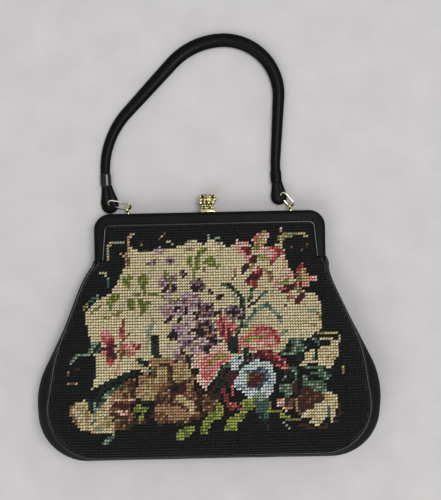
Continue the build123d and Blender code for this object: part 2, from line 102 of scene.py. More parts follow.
class Wool(Enum):
    """Wools of the needlepoint, as they show on a screen."""

    BLACK = (15, 18, 16)
    CREAM = (217, 203, 161)
    PALE_CREAM = (226, 214, 176)
    STRAW = (198, 178, 122)
    SAND = (184, 158, 126)
    TAN = (170, 135, 94)
    CLAY = (190, 142, 108)
    BROWN = (118, 80, 54)
    UMBER = (68, 46, 34)
    OLIVE = (132, 132, 68)
    MOSS = (108, 120, 56)
    LIME = (160, 168, 78)
    LEAF = (86, 114, 84)
    PINE = (30, 48, 38)
    TEAL = (148, 164, 142)
    DEEP_TEAL = (74, 102, 90)
    PALE_LILAC = (214, 192, 186)
    LILAC = (190, 158, 160)
    MAUVE = (132, 98, 106)
    PLUM = (54, 35, 40)
    NIGHT = (30, 25, 30)
    BLUSH = (238, 198, 180)
    ROSE = (226, 152, 140)
    CORAL = (202, 104, 96)
    RED = (144, 56, 56)
    MAROON = (88, 32, 40)
    ICE = (188, 199, 200)
    SKY = (212, 220, 215)
    BLUE = (122, 140, 154)
    NAVY = (58, 72, 88)
    AMBER = (178, 126, 82)

    @property
    def light(self) -> Colour:
        """The wool's colour in scene-linear light."""
        return linear(*self.value)


# Shader and geometry nodes


@dataclass(frozen=True)
class Signal:
    """A value in a node tree, which takes part in Python sums."""

    tree: bpy.types.NodeTree
    socket: bpy.types.NodeSocket

    def _math(self, operation: str, *terms: Union["Signal", float]) -> "Signal":
        """Add a Math node.

        Args:
            operation: The node's operation.
            terms: Its inputs in order, as signals or numbers.

        Returns:
            The node's value.
        """
        node = self.tree.nodes.new("ShaderNodeMath")
        node.operation = operation
        for socket, term in zip(node.inputs, terms):
            if isinstance(term, Signal):
                self.tree.links.new(term.socket, socket)
            else:
                socket.default_value = term
        return Signal(self.tree, node.outputs[0])

    def __add__(self, other: Union["Signal", float]) -> "Signal":
        """Sum."""
        return self._math("ADD", self, other)

    __radd__ = __add__

    def __sub__(self, other: Union["Signal", float]) -> "Signal":
        """Difference."""
        return self._math("SUBTRACT", self, other)

    def __mul__(self, other: Union["Signal", float]) -> "Signal":
        """Product."""
        return self._math("MULTIPLY", self, other)

    def __pow__(self, other: float) -> "Signal":
        """Power."""
        return self._math("POWER", self, other)

    def sine(self) -> "Signal":
        """Sine."""
        return self._math("SINE", self)

    def clamp(self) -> "Signal":
        """Value held between 0 and 1."""
        return self._math("MINIMUM", self._math("MAXIMUM", self, 0.0), 1.0)


@dataclass(frozen=True)
class Tree:
    """A node tree that nodes are added to by type, settings and inputs."""

    tree: bpy.types.NodeTree

    def add(self, kind: str, settings: Optional[dict[str, Any]] = None,
            inputs: Optional[dict[Any, Any]] = None, output: Any = 0) -> Optional[Signal]:
        """Add a node.

        Args:
            kind: The node's type.
            settings: Attributes to set first.
            inputs: Numbers, colours or signals by socket name or number.
            output: Name or number of the socket to return.

        Returns:
            The chosen output, or None from a node without any.
        """
        node = self.tree.nodes.new(kind)
        for key, value in (settings or {}).items():
            setattr(node, key, value)
        for key, value in (inputs or {}).items():
            if isinstance(value, Signal):
                self.tree.links.new(value.socket, node.inputs[key])
            else:
                node.inputs[key].default_value = value
        return Signal(self.tree, node.outputs[output]) if len(node.outputs) else None


class Shader(Tree):
    """Tree of one material."""

    def object_place(self) -> Signal:
        """Place on the piece, in metres."""
        return self.add("ShaderNodeTexCoord", output="Object")

    def noise(self, place: Signal, size: float, detail: float = 3.0) -> Signal:
        """Cloudy value from 0 to 1, with clouds of a size in metres."""
        return self.add("ShaderNodeTexNoise", inputs={"Vector": place, "Scale": 1 / size, "Detail": detail},
                        output="Fac")

    def mix(self, share: Signal, low: Any, high: Any) -> Signal:
        """Colour between two colours or signals, the first at a share of 0."""
        first, second = (end if isinstance(end, Signal) else (*end, 1.0) for end in (low, high))
        return self.add("ShaderNodeMix", {"data_type": "RGBA"}, {0: share, 6: first, 7: second}, output=2)

    def bump(self, height: Signal, distance: float) -> Signal:
        """Normal bent by a height from 0 to 1, where 1 is a distance in metres."""
        return self.add("ShaderNodeBump", inputs={"Height": height, "Distance": distance}, output="Normal")

    def split(self, place: Signal) -> tuple[Signal, Signal]:
        """First two coordinates of a place."""
        x = self.add("ShaderNodeSeparateXYZ", inputs={0: place})
        return x, Signal(self.tree, x.socket.node.outputs[1])

    def surface(self, inputs: dict[str, Any]) -> None:
        """End the tree in a Principled shader with these inputs."""
        shader = self.add("ShaderNodeBsdfPrincipled", inputs=inputs, output="BSDF")
        self.add("ShaderNodeOutputMaterial", inputs={"Surface": shader})


@dataclass(frozen=True)
class Finish:
    """A finish with a name, made once."""

    name: str
    slot: str

    def material(self) -> bpy.types.Material:
        """The finish's material, made on first use."""
        return bpy.data.materials.get(self.name) or self.make()

    def make(self) -> bpy.types.Material:
        """Build the material round a Principled shader."""
        material = bpy.data.materials.new(self.name)
        material.use_nodes = True
        material.node_tree.nodes.clear()
        tree = Shader(material.node_tree)
        tree.surface(self.sockets(tree, tree.object_place()))
        return material

    def sockets(self, tree: Shader, place: Signal) -> dict[str, Any]:
        """Values and links of the shader's sockets, which each kind of finish has its own of.

        Args:
            tree: The material's tree.
            place: Place on the piece, in metres.

        Returns:
            The sockets by name.
        """
        raise NotImplementedError


@dataclass(frozen=True)
class Leather(Finish):
    """Dyed leather with a fine grain, dull or waxed."""

    colour: Colour
    worn: Colour
    roughness: float
    gloss: float
    pore: float = 0.7 * MM
    depth: float = 0.05 * MM
    coat: float = 0.0

    def sockets(self, tree: Shader, place: Signal) -> dict[str, Any]:
        """Grain from two sizes of pores, and rubbed patches that are paler and duller."""
        pores = tree.add("ShaderNodeTexVoronoi", inputs={"Vector": place, "Scale": 1 / self.pore},
                         output="Distance")
        creases = tree.noise(place, 9 * MM, 5.0)
        rubbed = ((tree.noise(place, 16 * MM) - 0.5) * 5.0).clamp()
        height = pores * 0.6 + creases * 0.8 + tree.noise(place, 0.25 * MM, 2.0) * 0.25
        return {
            "Base Color": tree.mix(rubbed, self.colour, self.worn),
            "Roughness": (self.roughness + (creases - 0.5) * 0.22 + rubbed * 0.08).clamp(),
            "Normal": tree.bump(height, self.depth),
            "Coat Weight": self.coat,
            "Coat Roughness": 0.12,
            "Specular IOR Level": self.gloss,
        }


@dataclass(frozen=True)
class Metal(Finish):
    """Plated metal with a little tarnish, fine handling marks and painted shade in the hollows that an
    attribute marks.
    """

    colour: Colour
    tarnish: Colour
    roughness: float
    # Colour of the painted shade in the marked hollows.
    crevice_shade_colour: Colour = linear(30, 23, 7)
    shade_attribute: str = "crevice_shade"

    def sockets(self, tree: Shader, place: Signal) -> dict[str, Any]:
        """Tarnish in clouds, painted shade that darkens the marked hollows, and marks that change the gloss.
        """
        crevice_shade = tree.add("ShaderNodeAttribute", {"attribute_name": self.shade_attribute}, output="Fac")
        # The marked hollows are painted shade: pushed to the tarnish colour here and towards a dark brown
        # below.
        cloud = ((tree.noise(place, 5 * MM, 4.0) - 0.46) * 4.0 + crevice_shade).clamp()
        marks = tree.noise(place, 0.5 * MM, 3.0)
        shown = tree.mix(cloud, self.colour, self.tarnish)
        return {
            "Base Color": tree.mix(crevice_shade * 0.85, shown, self.crevice_shade_colour),
            "Roughness": (self.roughness + cloud * 0.12 + (marks - 0.5) * 0.14).clamp(),
            "Metallic": 1.0,
            "Normal": tree.bump(marks, 0.012 * MM),
        }


@dataclass(frozen=True)
class Ribbed(Finish):
    """Cloth with ribs across its UV map, whose units are metres."""

    colour: Colour
    # lit: colour of the painted highlight on the raised threads, which the paler clouds also take.
    lit: Colour
    pitch: float
    depth: float
    roughness: float
    sheen: float
    gloss: float

    def sockets(self, tree: Shader, place: Signal) -> dict[str, Any]:
        """Ribs with a thread's waver, a finer warp across them and dusty clouds, where the raised threads are
        painted paler as a painted highlight.
        """
        along, across = tree.split(tree.add("ShaderNodeUVMap", output="UV"))
        waver = tree.noise(place, 12 * MM, 3.0) * 1.6
        rib = (across * (2 * math.pi / self.pitch) + waver).sine() * 0.5 + 0.5
        warp = (along * (4 * math.pi / self.pitch)).sine() * 0.5 + 0.5
        cloud = tree.noise(place, 24 * MM, 4.0)
        fluff = tree.noise(place, 0.4 * MM, 2.0)
        height = (rib ** 0.6) * (0.75 + warp * 0.25) + fluff * 0.3
        return {
            "Base Color": tree.mix((height * 0.55 + cloud * 0.6 - 0.25).clamp(), self.colour, self.lit),
            "Roughness": (self.roughness + (cloud - 0.5) * 0.2).clamp(),
            "Normal": tree.bump(height, self.depth),
            "Sheen Weight": self.sheen,
            "Sheen Roughness": 0.5,
            "Specular IOR Level": self.gloss,
        }


@dataclass(frozen=True)
class Yarn(Finish):
    """Wool whose colour each stitch carries in an attribute."""

    attribute: str = "wool"

    def sockets(self, tree: Shader, place: Signal) -> dict[str, Any]:
        """Strands along the stitch, with a soft shade of their own."""
        wool = tree.add("ShaderNodeAttribute", {"attribute_name": self.attribute}, output="Color")
        strand = tree.noise(place, 0.5 * MM, 3.0)
        worn = tree.noise(place, 18 * MM, 4.0)
        shade = (strand * 0.5 + worn * 0.5 + 0.48).clamp()
        grey = tree.add("ShaderNodeCombineColor", inputs={0: shade, 1: shade, 2: shade})
        colour = tree.add("ShaderNodeMix", {"data_type": "RGBA", "blend_type": "MULTIPLY"},
                          {0: 1.0, 6: wool, 7: grey}, output=2)
        return {
            "Base Color": colour,
            "Roughness": (0.82 + (strand - 0.5) * 0.2).clamp(),
            "Normal": tree.bump(strand, 0.12 * MM),
            "Sheen Weight": 0.02,
            "Specular IOR Level": 0.1,
        }


@dataclass(frozen=True)
class Canvas(Finish):
    """Stiff mesh canvas under the wool, painted where the bouquet lies."""

    colour: Colour
    thread: Colour
    paint: Colour
    pitch: float
    attribute: str = "painted"

    def sockets(self, tree: Shader, place: Signal) -> dict[str, Any]:
        """Square threads of the canvas, over and under, with paint on some of them."""
        x, y = tree.split(place)
        turn = 2 * math.pi / self.pitch
        weave = (x * turn).sine() * (y * turn).sine() * 0.5 + 0.5
        cloud = tree.noise(place, 8 * MM)
        painted = tree.add("ShaderNodeAttribute", {"attribute_name": self.attribute}, output="Fac")
        bare = tree.mix((weave * 0.6 + cloud * 0.3).clamp(), self.colour, self.thread)
        return {
            "Base Color": tree.mix(painted, bare, self.paint),
            "Roughness": (0.8 + (cloud - 0.5) * 0.2).clamp(),
            "Normal": tree.bump(weave, 0.2 * MM),
        }


@dataclass(frozen=True)
class Plaster(Finish):
    """Plain pale floor."""

    colour: Colour

    def sockets(self, tree: Shader, place: Signal) -> dict[str, Any]:
        """Even pale paint, with hardly any mottling."""
        cloud = tree.noise(place, 30 * MM, 6.0)
        darker = tuple(0.9 * value for value in self.colour)
        return {
            "Base Color": tree.mix(((cloud - 0.35) * 2.2).clamp(), darker, self.colour),
            "Roughness": (0.8 + cloud * 0.1).clamp(),
            "Normal": tree.bump(tree.noise(place, 3 * MM, 6.0), 0.25 * MM),
        }


FRAME_LEATHER = Leather("smooth_leather", "frame_leather", linear(9, 11, 10), linear(14, 16, 15), 0.46, 0.08)
HANDLE_LEATHER = Leather("waxed_leather", "handle_leather", linear(7, 8, 7), linear(10, 11, 10), 0.44, 0.07,
                         pore=0.5 * MM, coat=0.03)
KEEPER_LEATHER = Leather("polished_leather", "handle_leather", linear(9, 10, 9), linear(13, 14, 13), 0.16,
                         gloss=0.3, pore=0.5 * MM, depth=0.01 * MM, coat=0.3)
PIPING_LEATHER = Leather("glossy_leather", "piping_leather", linear(9, 11, 11), linear(14, 15, 15), 0.24, 0.2,
                         pore=0.4 * MM, depth=0.01 * MM, coat=0.14)
BEAD_LEATHER = Leather("bead_leather", "piping_leather", linear(9, 11, 11), linear(14, 15, 15), 0.2, 0.35,
                       pore=0.4 * MM, depth=0.005 * MM, coat=0.4)
FRAME_BRASS = Metal("dull_brass", "frame_brass", linear(190, 160, 98), linear(138, 108, 62), 0.34)
CLASP_GOLD = Metal("pale_gold", "clasp_gold", linear(238, 233, 184), linear(176, 160, 92), 0.17)
LINK_METAL = Metal("bright_wire", "link_metal", linear(232, 226, 204), linear(180, 166, 124), 0.14)
FAILLE = Ribbed("ribbed_faille", "faille", linear(7, 8, 8), linear(20, 22, 21), pitch=0.9 * MM,
                depth=0.12 * MM, roughness=0.66, sheen=0.01, gloss=0.12)
SATIN = Ribbed("dark_satin", "lining_satin", linear(30, 29, 30), linear(56, 54, 56), pitch=0.35 * MM,
               depth=0.03 * MM, roughness=0.36, sheen=0.2, gloss=0.5)
NEEDLEPOINT = Yarn("wool_yarn", "needlepoint")
CANVAS = Canvas("mesh_canvas", "needlepoint", linear(8, 10, 9), linear(17, 19, 17), linear(74, 62, 42),
                pitch=2.0 * MM)
FLOOR = Plaster("pale_plaster", "floor", linear(206, 203, 202))


# Meshes


def way_along(points: np.ndarray) -> np.ndarray:
    """Distance of each of a line's points from the first, along the line."""
    return np.concatenate([[0], np.cumsum(np.linalg.norm(np.diff(points, axis=0), axis=1))])


def reach_towards(edge: np.ndarray, centre: np.ndarray, places: np.ndarray) -> tuple[np.ndarray, np.ndarray]:
    """Distance of places from a centre, and of a closed edge in the same directions.

    Args:
        edge: Points of the edge, one row each.
        centre: The centre.
        places: The places, one row each.

    Returns:
        The places' distances and the edge's.
    """
    arms, (x, y) = edge - centre, (places - centre).T
    arms = arms[np.argsort(np.arctan2(arms[:, 1], arms[:, 0]))]
    angles, lengths = np.arctan2(arms[:, 1], arms[:, 0]), np.linalg.norm(arms, axis=1)
    return np.hypot(x, y), np.interp(np.arctan2(y, x), angles, lengths, period=2 * math.pi)


def flat_size(edge: np.ndarray, spare: Point) -> tuple[Point, float]:
    """Size of the cloth that a sheet is cut from.

    Args:
        edge: The sheet's closed edge in X and Y.
        spare: Cloth added to its width and its height.

    Returns:
        Width and height with the spare cloth, and the area inside the edge.
    """
    x, y = edge.T
    area = 0.5 * abs(np.sum(x * np.roll(y, 1) - y * np.roll(x, 1)))
    return (float(np.ptp(x)) + spare[0], float(np.ptp(y)) + spare[1]), float(area)


def new_object(name: str, points: np.ndarray, faces: Sequence[Sequence[int]]) -> bpy.types.Object:
    """Make a smooth mesh object at the origin.

    Args:
        name: Object name.
        points: Vertices, one row each.
        faces: Vertex numbers of each face.

    Returns:
        The linked object.
    """
    mesh = bpy.data.meshes.new(name)
    mesh.from_pydata(np.asarray(points, float).reshape(-1, 3).tolist(), [], [list(f) for f in faces])
    mesh.shade_smooth()
    made = bpy.data.objects.new(name, mesh)
    bpy.context.scene.collection.objects.link(made)
    return made


def face_outwards(made: bpy.types.Object) -> None:
    """Merge doubled points and turn the faces of a closed mesh outwards.

    Args:
        made: The object whose mesh is corrected.
    """
    work = bmesh.new()
    work.from_mesh(made.data)
    bmesh.ops.remove_doubles(work, verts=work.verts, dist=1e-7)
    bmesh.ops.recalc_face_normals(work, faces=work.faces)
    work.to_mesh(made.data)
    work.free()


@dataclass
class Skin:
    """A surface given by rows of points, which becomes a closed mesh with a UV map in metres."""

    name: str
    points: np.ndarray
    ring: bool = False

    def _quads(self) -> np.ndarray:
        """Row and column of each quad's corners, where a ring has one column more."""
        rows, columns = self.points.shape[:2]
        spans = columns if self.ring else columns - 1
        starts = np.moveaxis(np.mgrid[:rows - 1, :spans], 0, 2).reshape(-1, 1, 2)
        return starts + np.array([(0, 0), (0, 1), (1, 1), (1, 0)])

    def _faces(self, first: int, flip: bool) -> list[list[int]]:
        """Quads of one side.

        Args:
            first: Number of the side's first vertex.
            flip: Whether the faces turn round.

        Returns:
            Vertex numbers.
        """
        columns = self.points.shape[1]
        row, column = np.moveaxis(self._quads()[:, ::-1 if flip else 1], 2, 0)
        return (first + row * columns + column % columns).tolist()

    def _lengths(self) -> tuple[np.ndarray, np.ndarray]:
        """Distance along the middle row and the middle column."""
        rows, columns = self.points.shape[:2]
        row = self.points[rows // 2]
        row = np.vstack([row, row[:1]]) if self.ring else row
        return way_along(row), way_along(self.points[:, columns // 2])

    def _map(self, made: bpy.types.Object, sides: int) -> None:
        """Write the UV map of the quads, which come first among the faces.

        Args:
            made: The object.
            sides: Number of sides that the surface was drawn on.
        """
        along, across = self._lengths()
        quads = self._quads()
        row, column = np.concatenate([quads, quads[:, ::-1]][:sides]).reshape(-1, 2).T
        layer = made.data.uv_layers.new(name="UVMap")
        places = np.empty((len(layer.data), 2))
        layer.data.foreach_get("uv", places.reshape(-1))
        places[:len(row)] = np.stack([along[column], across[row]], axis=1)
        layer.data.foreach_set("uv", places.reshape(-1))

    def normals(self) -> np.ndarray:
        """Unit normals of the surface, from the turn of its rows to its columns."""
        along = np.gradient(self.points, axis=1)
        if self.ring:
            wrapped = np.concatenate([self.points[:, -1:], self.points, self.points[:, :1]], axis=1)
            along = np.gradient(wrapped, axis=1)[:, 1:-1]
        across = np.gradient(self.points, axis=0)
        turned = np.cross(along, across)
        return turned / np.maximum(np.linalg.norm(turned, axis=2, keepdims=True), 1e-12)

    def sheet(self, thickness: float) -> bpy.types.Object:
        """Closed sheet of a thickness, below the surface's normals.

        Args:
            thickness: Thickness in metres.

        Returns:
            The object.
        """
        rows, columns = self.points.shape[:2]
        count = rows * columns
        under = self.points - thickness * self.normals()
        faces = self._faces(0, False) + self._faces(count, True)
        edge = list(range(columns))
        loops = [edge, [(rows - 1) * columns + n for n in edge[::-1]]]
        if not self.ring:
            loops = [loops[0] + [i * columns + columns - 1 for i in range(1, rows)]
                     + loops[1][1:] + [i * columns for i in range(rows - 2, 0, -1)]]
        for loop in loops:
            for a, b in zip(loop, loop[1:] + loop[:1]):
                faces.append([a, a + count, b + count, b])
        made = new_object(self.name, np.stack([self.points, under]), faces)
        self._map(made, 2)
        face_outwards(made)
        return made

    def solid(self) -> bpy.types.Object:
        """Closed body with a flat face at each end of a ring surface."""
        rows, columns = self.points.shape[:2]
        faces = self._faces(0, False)
        faces.append(list(range(columns))[::-1])
        faces.append([(rows - 1) * columns + n for n in range(columns)])
        made = new_object(self.name, self.points, faces)
        self._map(made, 1)
        face_outwards(made)
        return made


def even_path(points: np.ndarray, count: int) -> np.ndarray:
    """Points evenly spaced along a line of points.

    Args:
        points: The line's points, one row each.
        count: Number of points wanted.

    Returns:
        The spaced points.
    """
    way = way_along(points)
    places = np.linspace(0, way[-1], count)
    return np.stack([np.interp(places, way, points[:, n]) for n in range(points.shape[1])], axis=1)


def rounded_path(points: Sequence[Point], radii: Sequence[float], steps: int = 16) -> np.ndarray:
    """Line through points whose inner corners are rounded.

    Args:
        points: Corner points.
        radii: Radius of each inner corner.
        steps: Points on each round.

    Returns:
        Points along the line.
    """
    corners = [np.array(p, float) for p in points]
    line = [corners[0]]
    for before, corner, after, radius in zip(corners, corners[1:], corners[2:], radii):
        back = (before - corner) / np.linalg.norm(before - corner)
        on = (after - corner) / np.linalg.norm(after - corner)
        half = 0.5 * math.acos(float(np.clip(back @ on, -1, 1)))
        middle = (back + on) / np.linalg.norm(back + on)
        centre = corner + middle * radius / math.sin(half)
        start = corner + back * radius / math.tan(half) - centre
        end = corner + on * radius / math.tan(half) - centre
        for share in np.linspace(0, 1, steps):
            arm = (1 - share) * start + share * end
            line.append(centre + radius * arm / np.linalg.norm(arm))
    line.append(corners[-1])
    return np.array(line)


def tube_rows(path: np.ndarray, half_width: np.ndarray, half_height: np.ndarray, sides: int,
              square: float = 1.0) -> np.ndarray:
    """Rows of points round a path, with their widths level with the floor where the path is.

    Args:
        path: Points along the middle.
        half_width: Half width at each point, sideways.
        half_height: Half height at each point.
        sides: Points round the path.
        square: Power below 1 makes the section squarer.

    Returns:
        Rows of points, one ring per row.
    """
    way = np.gradient(path, axis=0)
    way /= np.linalg.norm(way, axis=1, keepdims=True)
    sideways = np.cross(way, np.array([0.0, 0.0, 1.0]))
    sideways /= np.linalg.norm(sideways, axis=1, keepdims=True)
    upward = np.cross(sideways, way)
    turn = np.linspace(0, 2 * math.pi, sides, endpoint=False)
    wide, high = (np.sign(f(turn)) * np.abs(f(turn)) ** square for f in (np.cos, np.sin))
    return (path[:, None] + sideways[:, None] * (half_width[:, None] * wide)[..., None]
            + upward[:, None] * (half_height[:, None] * high)[..., None])


def dress_piece(made: bpy.types.Object, finish: Finish, replaces: Iterable[str]) -> None:
    """Give a piece its finish.

    Args:
        made: The piece.
        finish: Its finish.
        replaces: CAD nodes that it stands for.
    """
    made.data.materials.clear()
    made.data.materials.append(finish.material())
    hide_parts(*replaces)
    LOG.info("%s in %s, %d faces", made.name, finish.name, len(made.data.polygons))


def place_piece(made: bpy.types.Object, finish: Finish, body: Body, *replaces: str) -> bpy.types.Object:
    """Give a piece its finish and let it ride on a body.

    Args:
        made: The piece.
        finish: Its finish.
        body: The body that carries it.
        replaces: CAD nodes that it stands for.

    Returns:
        The piece.
    """
    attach(made, body.value)
    dress_piece(made, finish, replaces)
    return made


def bend_piece(made: bpy.types.Object, finish: Finish, fold: Sequence[Vector],
               *replaces: str) -> bpy.types.Object:
    """Give a piece its finish and let it bend from the pouch to the front half of the frame.

    Args:
        made: The piece.
        finish: Its finish.
        fold: Where it leaves the pouch, and where it is wholly on the front half; not used.
        replaces: CAD nodes that it stands for.

    Returns:
        The piece.
    """
    start, end = fold
    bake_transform(made)
    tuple(start)
    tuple(end)
    dress_piece(made, finish, replaces)
    return made


# The pouch's form


@dataclass(frozen=True)
class Outline:
    """Half widths, drops below the hinge line and corner radii of one outline of the pouch."""

    flare_half: float
    shoulder_half: float
    shoulder_drop: float
    shoulder_radius: float
    corner_half: float
    corner_radius: float
    drop: float
    mouth_half: float = 89.9 * MM
    flare_drop: float = 6.0 * MM
    flare_radius: float = 8.0 * MM
    lean: float = 4.0 * MM
    sway: float = 2.6 * MM
    sway_drop: float = 15.0 * MM

    def path(self, inset: float, count: int) -> np.ndarray:
        """Line from the left end of the hinge line round the bottom to the right end.

        Args:
            inset: Distance inside the outline.
            count: Points wanted.

        Returns:
            Rows of X and drop.
        """
        halves = (self.mouth_half, self.flare_half, self.shoulder_half, self.corner_half)
        drops = (0.0, self.flare_drop, self.shoulder_drop, self.drop - inset)
        side = [(half - inset, drop) for half, drop in zip(halves, drops)]
        right = [(x - self.lean * drop / self.drop, drop) for x, drop in side]
        left = [(-x - self.lean * drop / self.drop, drop) for x, drop in side]
        radii = [self.flare_radius, self.shoulder_radius, self.corner_radius - inset]
        line = even_path(rounded_path(left + right[::-1], radii + radii[::-1]), count)
        share = line[:, 1] / self.sway_drop
        line[:, 0] -= self.sway * share * np.exp(1 - share)
        return line


@dataclass(frozen=True)
class PouchForm:
    """Planes and curves that the pouch's cloth follows."""

    hinge: Vector
    face: float
    depth: float
    crown: float = 6.0 * MM
    swell: float = 1.2 * MM
    crown_reach: float = 0.085
    crown_drop: float = 45 * MM
    crown_power: float = 2.4
    centre_x: float = -2 * MM
    centre_drop: float = 48 * MM
    rim: Outline = Outline(92 * MM, 116.5 * MM, 66 * MM, 120 * MM, 127.5 * MM, 36 * MM, 144 * MM)
    bulge: Outline = Outline(92.5 * MM, 134 * MM, 92 * MM, 60 * MM, 128 * MM, 38 * MM, 149 * MM)

    @property
    def tilt(self) -> float:
        """Angle of the front panel above level."""
        return math.atan((self.depth - self.face) / self.rim.drop)

    @property
    def centre(self) -> np.ndarray:
        """Middle of the pouch in X and Y, which its sheets' rings close on."""
        return np.array([self.centre_x, self.hinge.y - self.centre_drop])

    def fold(self, offsets: Sequence[Place]) -> list[Vector]:
        """Places from their offsets to the hinge line's middle, passed with a piece as its fold."""
        return [self.hinge + Vector(offset) for offset in offsets]

    def rings(self, edge: np.ndarray, shares: np.ndarray,
              height: Callable[[np.ndarray, float], np.ndarray]) -> np.ndarray:
        """Rings of a sheet between its edge and the middle of the pouch.

        Args:
            edge: Its edge in X and Y.
            shares: Size of each ring, 1 at the edge.
            height: Gives the heights of a ring's places, from the ring and its share.

        Returns:
            Rows of points.
        """
        rows = []
        for share in shares:
            ring = self.centre + share * (edge - self.centre)
            rows.append(np.column_stack([ring, height(ring, share)]))
        return np.array(rows)

    def front(self, path: np.ndarray, rise: float) -> np.ndarray:
        """Points on the front panel's plane or a rise above it, from rows of X and drop."""
        c, s = math.cos(self.tilt), math.sin(self.tilt)
        return np.stack([path[:, 0], self.hinge.y - path[:, 1] * c + rise * s,
                         self.face + path[:, 1] * s + rise * c], axis=1)

    def level(self, path: np.ndarray, height: float) -> np.ndarray:
        """Points at a height above the floor, from rows of X and drop."""
        return np.stack([path[:, 0], self.hinge.y - path[:, 1], np.full(len(path), height)], axis=1)

    def middle(self, path: np.ndarray) -> np.ndarray:
        """Points half way between the back and the front planes, from rows of X and drop."""
        half = self.tilt / 2
        return np.stack([path[:, 0], self.hinge.y - path[:, 1] * math.cos(half),
                         self.face / 2 + 1 * MM + path[:, 1] * math.sin(half)], axis=1)

    def share(self, x: np.ndarray, y: np.ndarray) -> np.ndarray:
        """How far places lie from the middle of the pouch towards its rim.

        Args:
            x: Places along X.
            y: Places along Y.

        Returns:
            0 in the middle, 1 at the rim.
        """
        path = self.rim.path(0, 400)
        edge = even_path(np.vstack([path, path[:1]]), 900)
        centre = np.array([-self.rim.lean / 2, self.rim.drop / 2])
        drop = (self.hinge.y - y) / math.cos(self.tilt)
        far, reach = reach_towards(edge, centre, np.stack([x, drop], axis=1))
        return far / reach

    def front_height(self, x: np.ndarray, y: np.ndarray) -> np.ndarray:
        """Height of the needlepoint's ground above the floor.

        Args:
            x: Places along X.
            y: Places along Y.

        Returns:
            Heights.
        """
        drop = np.maximum(self.hinge.y - y, 0.0)
        share = np.clip(self.share(x, y), 0, 1)
        edge = np.clip((1 - share) / self.crown_reach, 0, 1)
        rise = self.crown * (1 - (1 - edge) ** self.crown_power) + self.swell * (1 - share ** 2)
        settled = np.clip(drop / self.crown_drop, 0, 1)
        return self.face + drop * math.tan(self.tilt) + rise * settled ** 2 * (3 - 2 * settled)

    def front_normal(self, x: np.ndarray, y: np.ndarray) -> np.ndarray:
        """Unit normals of the front.

        Args:
            x: Places along X.
            y: Places along Y.

        Returns:
            Rows of normals.
        """
        step = 0.5 * MM
        slope_x = (self.front_height(x + step, y) - self.front_height(x - step, y)) / (2 * step)
        slope_y = (self.front_height(x, y + step) - self.front_height(x, y - step)) / (2 * step)
        turned = np.stack([-slope_x, -slope_y, np.ones_like(slope_x)], axis=1)
        return turned / np.linalg.norm(turned, axis=1, keepdims=True)

    def panel_edge(self, insert_half: float, insert_top: float, corner: float, inset: float) -> np.ndarray:
        """Edge of a panel that fills the rim and runs up into the frame, in X and Y.

        Args:
            insert_half: Half width inside the frame.
            insert_top: Top edge inside the frame.
            corner: Radius of the top corners.
            inset: Distance inside the rim.

        Returns:
            Points of a closed line, without its last point.
        """
        rim = self.rim.path(inset, 300)
        lower = np.stack([rim[:, 0], self.hinge.y - rim[:, 1] * math.cos(self.tilt)], axis=1)
        foot = self.hinge.y + 3 * MM
        upper = rounded_path([(insert_half, foot), (insert_half, insert_top), (-insert_half, insert_top),
                              (-insert_half, foot)], [corner, corner])
        line = np.vstack([lower, upper, lower[:1]])
        return even_path(line, 280)[:-1]


# The needlepoint's chart: simple fields of colour, in chart units from the chart's upper left corner


@dataclass(frozen=True)
class Stitches:
    """Chart places of stitches, across and down, with a chance from 0 to 1 for each."""

    x: np.ndarray
    y: np.ndarray
    chance: np.ndarray


@dataclass(frozen=True)
class Shape:
    """One field of colour, in wools that are given by their names."""

    names: str

    @property
    def tones(self) -> tuple[Wool, ...]:
        """The wools in order."""
        return tuple(Wool[name.upper()] for name in self.names.split())

    def depth(self, at: Stitches) -> np.ndarray:
        """How far along its tones the shape is at each stitch.

        Args:
            at: The stitches.

        Returns:
            Numbers from 0 to 1, or NaN outside the shape.
        """
        raise NotImplementedError


@dataclass(frozen=True)
class Patch(Shape):
    """Field with straight sides, in wools that mix by chance."""

    corners: tuple[Point, ...]

    def depth(self, at: Stitches) -> np.ndarray:
        """Chance inside the sides."""
        inside = np.zeros(at.x.shape, bool)
        for (ax, ay), (bx, by) in zip(self.corners, self.corners[1:] + self.corners[:1]):
            if ay != by:
                crosses = (ay > at.y) != (by > at.y)
                inside ^= crosses & (at.x < (bx - ax) * (at.y - ay) / (by - ay) + ax)
        return np.where(inside, at.chance, np.nan)


@dataclass(frozen=True)
class Stroke(Shape):
    """Line of stitches along points, in wools that mix by chance."""

    width: float
    points: tuple[Point, ...]

    def depth(self, at: Stitches) -> np.ndarray:
        """Chance within half the width of the line."""
        near = np.full(at.x.shape, np.inf)
        for (ax, ay), (bx, by) in zip(self.points, self.points[1:]):
            length = (bx - ax) ** 2 + (by - ay) ** 2
            share = np.clip(((at.x - ax) * (bx - ax) + (at.y - ay) * (by - ay)) / length, 0, 1)
            near = np.minimum(near, np.hypot(at.x - ax - share * (bx - ax), at.y - ay - share * (by - ay)))
        return np.where(near < self.width / 2, at.chance, np.nan)


@dataclass(frozen=True)
class Oval(Shape):
    """Oval field with tones from its middle outwards."""

    centre: Point
    radii: Point
    blur: float = 0.3

    def depth(self, at: Stitches) -> np.ndarray:
        """Distance from the middle, blurred by chance."""
        reach = np.hypot((at.x - self.centre[0]) / self.radii[0], (at.y - self.centre[1]) / self.radii[1])
        return np.where(reach < 1, np.clip(reach + self.blur * (at.chance - 0.5), 0, 0.999), np.nan)


